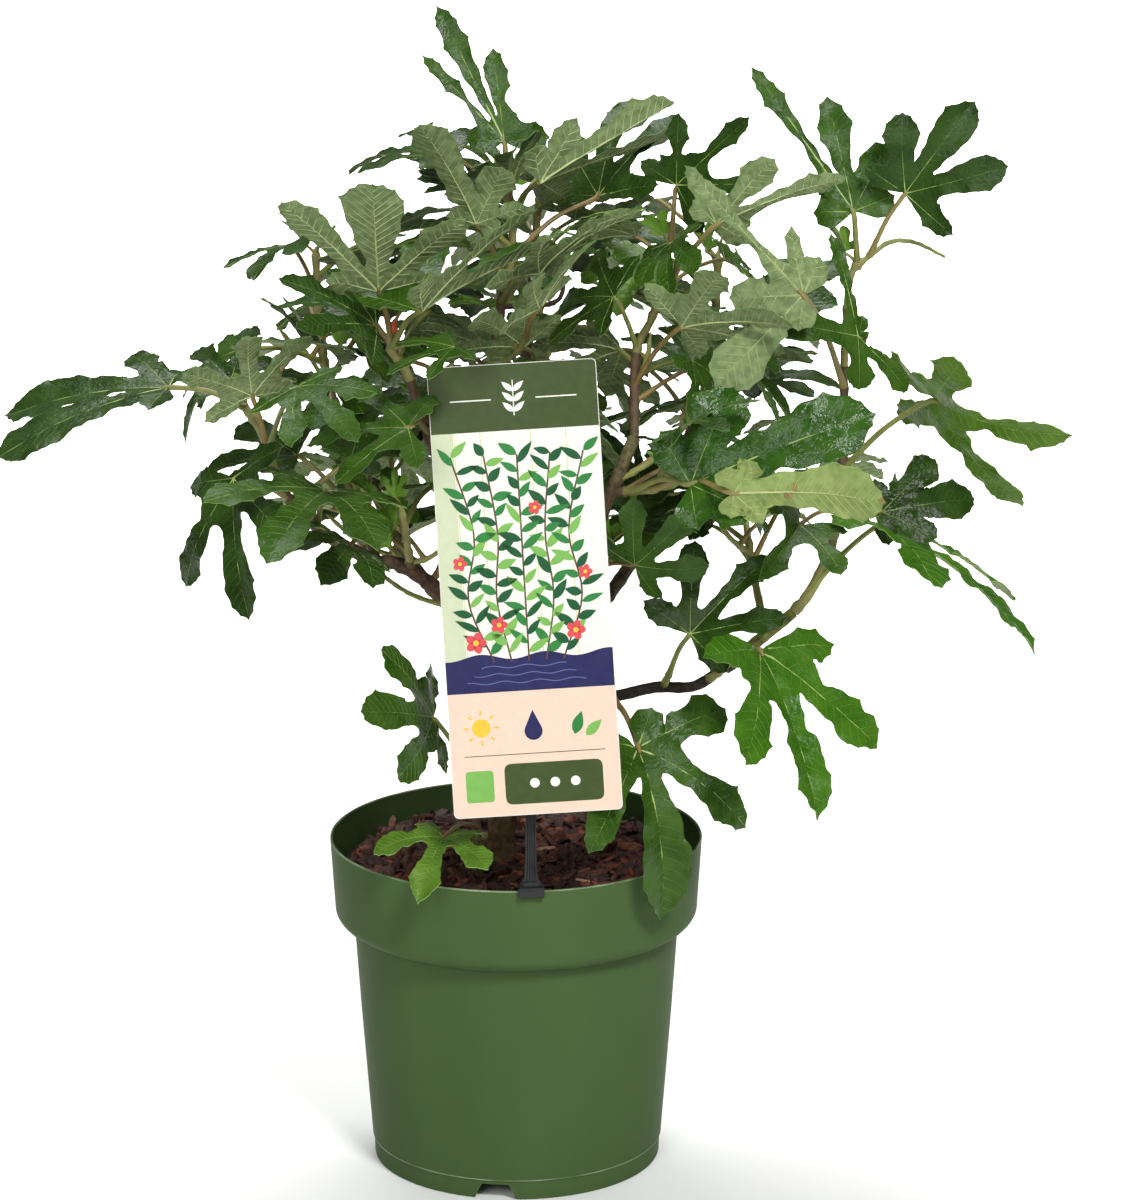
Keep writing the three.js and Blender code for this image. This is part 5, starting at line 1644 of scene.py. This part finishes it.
def scatter_chips(shapes, rng):
    """Layers of chips all over the soil, each near a point of a grid."""
    reach = POT["collar_foot_radius"] - POT["wall"] - 3
    pitch, wander = CHIP["pitch"], CHIP["wander"]
    for layer in range(CHIP["layers"]):
        for row, grid_y in enumerate(np.arange(-reach, reach, pitch * 0.866)):
            for grid_x in np.arange(-reach, reach, pitch) + (row % 2) * pitch / 2:
                x = grid_x + rng.uniform(-wander, wander) * pitch
                y = grid_y + rng.uniform(-wander, wander) * pitch
                radius = math.hypot(x, y)
                size = [rng.uniform(*CHIP[key]) for key in ("length", "width", "thick")]
                tilt = np.radians(rng.normal(0, CHIP["tilt"], 2))
                compass = rng.uniform(0, 2 * np.pi)
                tone = CHIP_TONES[int(rng.integers(len(CHIP_TONES)))]
                if radius > reach - size[0] / 3 or layer and rng.random() < CHIP["left_out"]:
                    continue
                height = soil_height(radius) + rng.uniform(*CHIP["lift"]) + CHIP["layer_rise"] * layer
                add_chip(shapes[tone], (x, y, height), size, compass, tilt, rng)


def make_chips(woods):
    rng = np.random.default_rng(CHIP_SEED)
    shapes = {tone: Shape() for tone in woods}
    scatter_chips(shapes, rng)
    for tone, (x, y), compass, size, tilt in LOOSE_CHIPS:
        centre = (x, y, soil_height(math.hypot(x, y)) + LOOSE_LIFT)
        add_chip(shapes[tone], centre, size, math.radians(compass), tilt, rng)
    for tone, shape in shapes.items():
        piece(f"bark_chips_{tone}", shape, [woods[tone]], sharp=20)


# ---------------------------------------------------------------- the plant label

HEADER_HEIGHT = 36
FOOT_HEIGHT = 67
MARGIN = 0.35                    # what the prints leave free at the card's edge
INLAY = 0.05                     # how far each printed layer stands on the one below
BOARDS = (-33, -19, 8, 27)       # where the lines between the pale boards are
BLOSSOMS = [
    (-28, 27, 5.2), (-15, 36, 4.2), (26, 31, 4.8), (33, 62, 3.6), (-34, 70, 3.6), (8, 98, 3.4),
]
SUN_X = -28


def oval(x, z, across, up=None, turn=0.0, count=28):
    up = across if up is None else up
    a = np.linspace(0, 2 * np.pi, count, endpoint=False)
    return turned(np.stack([across * np.cos(a), up * np.sin(a)], 1), turn) + (x, z)


def blade_mark(x, z, length, width, turn):
    """A plain pointed leaf, as drawn on a label, from its foot at X and Z."""
    run = np.linspace(0, 1, 7)
    swell = np.sin(np.pi * run ** 0.8) * width / 2
    there = np.stack([run * length, swell], 1)
    back = np.stack([run[-2:0:-1] * length, -swell[-2:0:-1]], 1)
    return turned(np.vstack([there, back]), turn) + (x, z)


def stroke(points, width):
    """A drawn line as a thin outline about its points."""
    points = np.asarray(points, float)
    step = np.gradient(points, axis=0)
    step /= np.linalg.norm(step, axis=1)[:, None]
    beside = np.stack([-step[:, 1], step[:, 0]], 1) * width / 2
    return np.vstack([points + beside, (points - beside)[::-1]])


def tile(left, right, low, high):
    return np.array([(left, low), (right, low), (right, high), (left, high)], float)


def header_prints(head):
    """A frame line on each side of a small sprig."""
    rows = [("white", stroke([(side * 12, head + 17), (side * 34, head + 17)], 0.7), 2) for side in (-1, 1)]
    rows.append(("white", stroke([(0, head + 8), (0, head + 27)], 0.6), 2))
    for k in range(3):
        for side in (-1, 1):
            rows.append(("white", blade_mark(0, head + 10 + 5.5 * k, 8, 3.2, 90 - side * 48), 2))
    return rows


def water_prints(right, band):
    """A band of blue water under the picture, with a few ripples."""
    crest = [(x, band + 19 + 1.6 * math.sin(x / 5.5)) for x in np.linspace(-right, right, 34)]
    rows = [("navy", np.array([(-right, band), (right, band), *crest[::-1]]), 3)]
    for k in range(3):
        run = np.linspace(-34 + 4 * k, 30 - 5 * k, 24)
        wave = [(x, band + 5 + 4.2 * k + 0.7 * math.sin(x / 3 + k)) for x in run]
        rows.append(("blue", stroke(wave, 0.5), 4))
    return rows


def vine_prints(right, band, head):
    """Five leafy vines that climb the picture."""
    rng = np.random.default_rng(VINE_SEED)
    greens = ["leaf_deep", "leaf_mid", "leaf_light"]
    rows = []
    for k in range(5):
        lean = -34 + 17 * k
        bends = ((0.55, band + 16), (0.9, band + 50), (0.75, band + 84), (1.05, head - 13))
        vine = Curve([(lean * share, z) for share, z in bends])
        rows.append(("stem", stroke(vine.spaced(6), 0.9), 4))
        for i, (x, z) in enumerate(vine.spaced(4.6)[1:]):
            turn = 90 + (55 if i % 2 else -55) + rng.uniform(-22, 22)
            mark = blade_mark(x, z, rng.uniform(9, 14.5), rng.uniform(3.6, 5.2), turn)
            low, high = mark.min(0), mark.max(0)
            if low[0] > -right + 1 and high[0] < right - 1 and high[1] < head - 1:
                rows.append((greens[int(rng.integers(3))], mark, 5 + (i + k) % 3))
    return rows


def blossom_prints(band):
    rows = []
    for x, z, size in BLOSSOMS:
        for k in range(5):
            petal = turned([(size * 0.62, 0)], 72 * k)[0] + (x, band + z)
            rows.append(("coral", oval(*petal, size * 0.5, size * 0.42, 72 * k, 14), 8))
        rows.append(("gold", oval(x, band + z, size * 0.3, count=12), 9))
    return rows


def foot_prints(low, band):
    """Signs for sun, water and growth over a line, and two tiles under it, one of them with dots."""
    middle = band - 19
    rows = [("gold", oval(SUN_X, middle, 5), 2)]
    for k in range(8):
        rows.append(("gold", stroke(turned([(6.8, 0), (9.4, 0)], 45 * k) + (SUN_X, middle), 1.0), 2))
    bowl = [(4.9 * math.cos(a), -2 + 4.9 * math.sin(a)) for a in np.radians(np.arange(20, -201, -20))]
    rows.append(("navy", np.array([(0, 9.5), *bowl]) + (0, middle - 1), 2))
    rows.append(("leaf_mid", blade_mark(22, middle - 6, 13, 6, 70), 2))
    rows.append(("leaf_light", blade_mark(28, middle - 7, 12, 5.5, 42), 3))
    rows.append(("ink", stroke([(-38, band - 34), (38, band - 34)], 0.4), 2))
    rows.append(("olive", rounded(tile(-17, 36, low + 6, band - 39), 4), 2))
    for k in range(3):
        rows.append(("white", oval(-1 + 11 * k, low + 17, 2.6, count=18), 3))
    rows.append(("leaf_light", rounded(tile(-38, -23, low + 8, band - 42), 2), 2))
    return rows


def card_prints():
    """What is printed on the card: its layers as colour, outline and level, from the back to the front."""
    half, top = CARD["width"] / 2, CARD["height"] / 2
    head, band = top - HEADER_HEIGHT, -top + FOOT_HEIGHT
    right, corner = half - MARGIN, CARD["corner"] - 0.4
    rows = [
        ("olive", rounded(tile(-right, right, head, top - MARGIN), [0, 0, corner, corner]), 1),
        ("cream", rounded(tile(-right, right, -top + MARGIN, band), [corner, corner, 0, 0]), 1),
        ("wall", tile(-right, right, band, head), 1),
        *header_prints(head),
    ]
    for x in BOARDS:
        rows.append(("line", stroke([(x, band), (x, head)], 0.5), 2))
    rows.append(("shade", tile(-right, BOARDS[0] - 0.6, band, head), 2))
    rows.extend(water_prints(right, band))
    rows.extend(vine_prints(half, band, head))
    rows.extend(blossom_prints(band))
    rows.extend(foot_prints(-top, band))
    return rows


PRINTS = {
    "olive": (61, 77, 38), "cream": (232, 204, 184), "wall": (234, 234, 222), "shade": (200, 208, 176),
    "line": (206, 204, 150), "white": (232, 236, 224), "navy": (36, 38, 84), "blue": (92, 100, 150),
    "leaf_deep": (24, 84, 46), "leaf_mid": (46, 124, 60), "leaf_light": (120, 176, 84),
    "stem": (96, 62, 48), "coral": (216, 78, 84), "gold": (236, 190, 60), "ink": (70, 58, 50),
}


def printed(name, colour):
    paler = tuple(min(255, c + 4) for c in colour)
    return finish_of(f"print_{name}", colour, paler, 220, (0.32, 0.42), 1500, 0.02, Specular_IOR_Level=0.25)


def make_card(plain):
    right, top = CARD["width"] / 2, CARD["height"] / 2
    half = CARD["thickness"] / 2
    body = Shape()
    prism(body, rounded(tile(-right, right, -top, top), CARD["corner"], 8), on_card, -half, half)
    piece("card_body", body, [plain], ["label_card"])
    inks = {name: printed(name, colour) for name, colour in PRINTS.items()}
    order = list(inks)
    fields, motifs = Shape(), Shape()
    for name, outline, level in card_prints():
        target = fields if level == 1 else motifs
        prism(target, outline, on_card, -half - INLAY * level, -half + 0.2, order.index(name))
    piece("card_fields", fields, list(inks.values()))
    piece("card_motifs", motifs, list(inks.values()))


def bar_section():
    """The bar's section: two grooves in its front between two edge ribs and a thin middle web."""
    width, depth = HOLDER["width"] / 2, HOLDER["depth"] / 2
    rib, web, slope, bottom = 1.0, 0.4, 0.3, -depth + 0.7
    return [
        (-width, -depth), (-width + rib, -depth), (-width + rib + slope, bottom), (-web - slope, bottom),
        (-web, -depth), (web, -depth), (web + slope, bottom), (width - rib - slope, bottom),
        (width - rib, -depth), (width, -depth), (width, depth), (-width, depth),
    ]


def make_holder(plastic):
    """The black bar behind the card, which leans as the card does, with a flared foot and bevelled top."""
    section = bar_section()
    foot = heading(HOLDER["compass"], 0) * (POT["rim_radius"] - POT["lip_width"] / 2)
    foot[2] = POT["height"] + CLIP["cap"] + HOLDER["lift"]
    lean = math.radians(-CARD["lean"])
    up = np.array([0, -math.sin(lean), math.cos(lean)])
    out = np.array([0, math.cos(lean), math.sin(lean)])
    top = HOLDER["length"]
    heights = [0.0, *np.linspace(2, top - 4, 12), top - 1, top]
    rows = []
    for height in heights:
        narrow = 1 - 0.35 * float(ease(height, top - 4, top))
        wide = 1 + 0.35 * (1 - float(ease(height, 0, 5)))
        for x, y in section:
            rows.append(foot + np.array([x * narrow * wide, 0, 0]) + out * y * narrow + up * height)
    count, last = len(section), len(heights) - 1
    k = np.arange(count)
    shape = Shape()
    shape.add(rows, [ring_faces(len(heights), count), k[None, ::-1], k[None] + last * count])
    piece("label_bar", shape, [plastic], ["label_holder"], sharp=30)


def clip_outline():
    """The clip from the side, as it hooks over the rim: a short leg in front and a longer one inside."""
    front = -POT["lip_width"] / 2 - CLIP["outer_play"]
    back = POT["lip_width"] / 2 + CLIP["inner_play"]
    wall, leg, inner, cap = CLIP["wall"], CLIP["leg"], CLIP["inner"], CLIP["cap"]
    corners = [
        ((front - wall, -leg), 1.0), ((front - 0.6, -leg), 0.3), ((front, -leg + 0.8), 0.3),
        ((front, GAP), 0.4), ((back, GAP), 0.4), ((back, -inner), 0.3), ((back + wall, -inner), 1.0),
        ((back + wall, cap), 0.9), ((front - wall, cap), 0.9),
    ]
    return rounded([corner for corner, _ in corners], [radius for _, radius in corners], 3), front - wall


def make_clip(plastic):
    """The clip with its worn-round flanks, the seat for the bar and two gussets beside it."""
    base = turned_out(HOLDER["compass"], POT["rim_radius"] - POT["lip_width"] / 2, POT["height"])

    def place(points):
        return base(points[:, [1, 0, 2]])

    shape = Shape()
    outline, face = clip_outline()
    half, soft, cap = CLIP["width"] / 2, 0.5, CLIP["cap"]
    prism(shape, outline, place, -half + soft, half - soft)
    slim = outline.copy()
    slim[:, 1] = np.where(slim[:, 1] > cap - 0.5, cap - 0.35, slim[:, 1])
    slim[:, 0] = np.where(slim[:, 0] < face + 0.3, face + 0.35, slim[:, 0])
    for side in (-1, 1):
        prism(shape, slim, place, *sorted((side * half, side * (half - soft))))
    seat = [(-4.6, cap - 0.3), (4.6, cap - 0.3), (3.9, cap + 2.6), (-3.9, cap + 2.6)]
    prism(shape, rounded(seat, 0.5, 2), base, -1.9, 1.9)
    for side in (-1, 1):
        gusset = [(side * 3.4, cap - 0.2), (side * 6.2, cap - 0.2), (side * 3.4, cap + 5.5)]
        prism(shape, np.array(gusset[::side]), base, -0.5, 0.5)
    piece("rim_clip", shape, [plastic], ["label_clip"], sharp=30)


# ---------------------------------------------------------------- assembly


def make_leaves(crown):
    """Every leaf with its petiole and veins, each kind joined into its own pieces."""
    finishes = leaf_materials()
    sheets = {tone: Joined() for tone in LEAF_TONES}
    petioles = {tone: Joined() for tone in PETIOLE_TONES}
    top_veins, under_veins = Joined(), Joined()
    tones = list(PETIOLE_TONES)
    for k, row in enumerate(crown.leaves):
        rng = np.random.default_rng(LEAF_SEED + k)
        plan = {**row["plan"], **row["plan"]["look"]}
        _, _, foot, axes = leaf_place(row["shoot"], plan)
        detail = PLACED if row["placed"] else GROWN
        add_blade(sheets[plan["tone"]], top_veins, under_veins, plan, foot, axes, detail, rng)
        add_petiole(petioles[tones[k % len(tones)]].room(), row["shoot"], plan)
    for tone, joined in sheets.items():
        joined.pieces(f"leaves_{tone}", finishes[tone], "foliage")
    for tone, joined in petioles.items():
        finish = finish_of(f"petiole_{tone}", *PETIOLE_TONES[tone], 120, (0.45, 0.6), 1200, 0.06)
        joined.pieces(f"petioles_{tone}", [finish], "foliage")
    top_vein = finish_of("vein_top", (158, 180, 94), (176, 196, 114), 150, (0.45, 0.55), 1500, 0.02)
    under_vein = finish_of("vein_under", (170, 184, 124), (188, 200, 142), 150, (0.5, 0.6), 1500, 0.02)
    top_veins.pieces("veins_above", [top_vein], "foliage")
    under_veins.pieces("veins_below", [under_vein], "foliage")


def make_shoots(crown):
    """The shoots with their buds, what is left of torn ones, and the side twigs."""
    shoots, twigs, buds = Shape(), Shape(), Shape()
    rng = np.random.default_rng(SHOOT_SEED)
    for name, plan in MASSES.items():
        curve = crown.shoots[name]
        woody = WOODY.get(name, WOODY_ELSEWHERE)
        add_shoot(shoots, curve, plan["radius"], crown.joints(curve), rng, SHOOT_SIDES, woody)
        add_bud(buds, curve, plan["radius"][1], int(name in RED_BUDS))
    for curve in crown.twigs:
        add_shoot(twigs, curve, TWIG["radius"], crown.joints(curve), rng, TWIG_SIDES)
    wood = finish_of("green_shoot", (118, 116, 62), (140, 134, 80), 90, (0.5, 0.65), 900, 0.2)
    brown = finish_of("brown_shoot", (74, 56, 38), (98, 78, 52), 160, (0.6, 0.8), 700, 0.5)
    piece("shoots", shoots, [wood, brown], MASSES)
    bud_green = finish_of("bud_green", (120, 126, 62), (142, 140, 80), 200, (0.5, 0.6), 900, 0.1)
    bud_red = finish_of("bud_red", (176, 64, 34), (206, 96, 48), 200, (0.45, 0.6), 900, 0.1)
    piece("buds", buds, [bud_green, bud_red])
    make_stubs()
    young = finish_of("young_twig", (126, 130, 66), (144, 146, 84), 90, (0.45, 0.6), 900, 0.15)
    piece("twigs", twigs, [young])


def make_tree():
    crown = Crown()
    crown.fill()
    crown.grow_tips()
    crown.grow_twigs()
    crown.grow_bough_twigs()
    bark = finish_of(
        "bark", (255, 255, 255), (196, 190, 178), 350, (0.7, 0.9), 900, 0.5, tinted=True,
    )
    for seed, (name, plan) in enumerate(LIMBS.items()):
        limb_piece(name, plan, seed + 1, bark)
    make_leaves(crown)
    make_shoots(crown)


FLOOR_HALF = 30
WORLD_LIGHT = 0.12
# Each lamp: its place and size in metres, its power in watts, its spread in degrees and what it aims at.
LAMPS = (
    ("key", (0.9, -2.1, 2.5), 0.7, 68, 180, (0, 0, 0.35)),
    ("fill", (-0.7, -2.4, 1.5), 1.1, 24, 180, (0, 0, 0.35)),
    ("top", (-0.3, 0.9, 2.4), 1.0, 14, 180, (0, 0, 0.4)),
    ("floor_light", (0, 3.9, 4.5), 5.0, 330, 75, (0, 3.9, 0)),
)
CAMERA = {"lens": 135.8, "sensor": 36, "pitch": 75.45}


def make_stage():
    """A pale floor, a white world and the lamps."""
    corners = tile(-FLOOR_HALF, FLOOR_HALF, -FLOOR_HALF, FLOOR_HALF)
    mesh = bpy.data.meshes.new("floor")
    mesh.from_pydata([(x, y, 0) for x, y in corners], [], [(0, 1, 2, 3)])
    pale = finish_of("pale_floor", (244, 244, 243), (247, 247, 246), 2, (0.8, 0.9), 40, 0.01)
    mesh.materials.append(pale)
    floor = bpy.data.objects.new("floor", mesh)
    bpy.context.scene.collection.objects.link(floor)
    world = bpy.data.worlds.new("studio")
    world.use_nodes = True
    background = world.node_tree.nodes["Background"]
    background.inputs["Color"].default_value = (1, 1, 1, 1)
    background.inputs["Strength"].default_value = WORLD_LIGHT
    bpy.context.scene.world = world
    bpy.context.scene.view_settings.view_transform = "Standard"
    for name, place, width, power, spread, aim in LAMPS:
        lamp = bpy.data.lights.new(name, "AREA")
        lamp.size, lamp.energy, lamp.spread = width, power, math.radians(spread)
        thing = bpy.data.objects.new(name, lamp)
        thing.location = place
        thing.rotation_euler = (Vector(aim) - Vector(place)).to_track_quat("-Z", "Y").to_euler()
        bpy.context.scene.collection.objects.link(thing)


def make_camera():
    camera = bpy.data.cameras.new("camera")
    camera.lens, camera.sensor_width = CAMERA["lens"], CAMERA["sensor"]
    thing = bpy.data.objects.new("camera", camera)
    thing.location = [each * MM for each in VIEW]
    thing.rotation_euler = (math.radians(CAMERA["pitch"]), 0, 0)
    bpy.context.scene.collection.objects.link(thing)
    bpy.context.scene.camera = thing


make_camera()
make_stage()
make_tree()
plastic = finish_of(
    "pot_plastic", (71, 92, 55), (76, 98, 59), 12, (0.42, 0.5), 700, 0.02, (1, 1, 0.3),
    Specular_IOR_Level=0.02,
)
# Pale green-grey: a painted highlight along the lip's top, and rubbed wear along the step's edge.
sheen_and_wear = finish_of(
    "pot_lip_sheen_and_step_wear", (86, 110, 70), (146, 160, 130), 60, (0.35, 0.5), 700, 0.02, (1, 1, 4),
    Specular_IOR_Level=0.2,
)
make_pot(plastic, sheen_and_wear)
make_soil(finish_of("wet_earth", (40, 24, 18), (24, 14, 11), 200, (0.8, 0.95), 600, 1.2))
make_chips({
    "dark": finish_of("chip_dark", (74, 42, 34), (46, 26, 22), 260, (0.55, 0.8), 1100, 0.35),
    "brown": finish_of("chip_brown", (104, 62, 48), (70, 40, 32), 260, (0.55, 0.8), 1100, 0.35),
    "red": finish_of("chip_red", (138, 76, 54), (96, 50, 38), 260, (0.55, 0.8), 1100, 0.35),
    "pale": finish_of("chip_pale", (196, 160, 126), (160, 120, 90), 300, (0.6, 0.8), 1100, 0.2),
})
make_card(finish_of("card_plain", (236, 232, 222), (240, 237, 228), 200, (0.34, 0.44), 1500, 0.02))
black = finish_of("black_plastic", (20, 21, 23), (28, 29, 32), 150, (0.3, 0.45), 1200, 0.04)
make_holder(black)
make_clip(black)
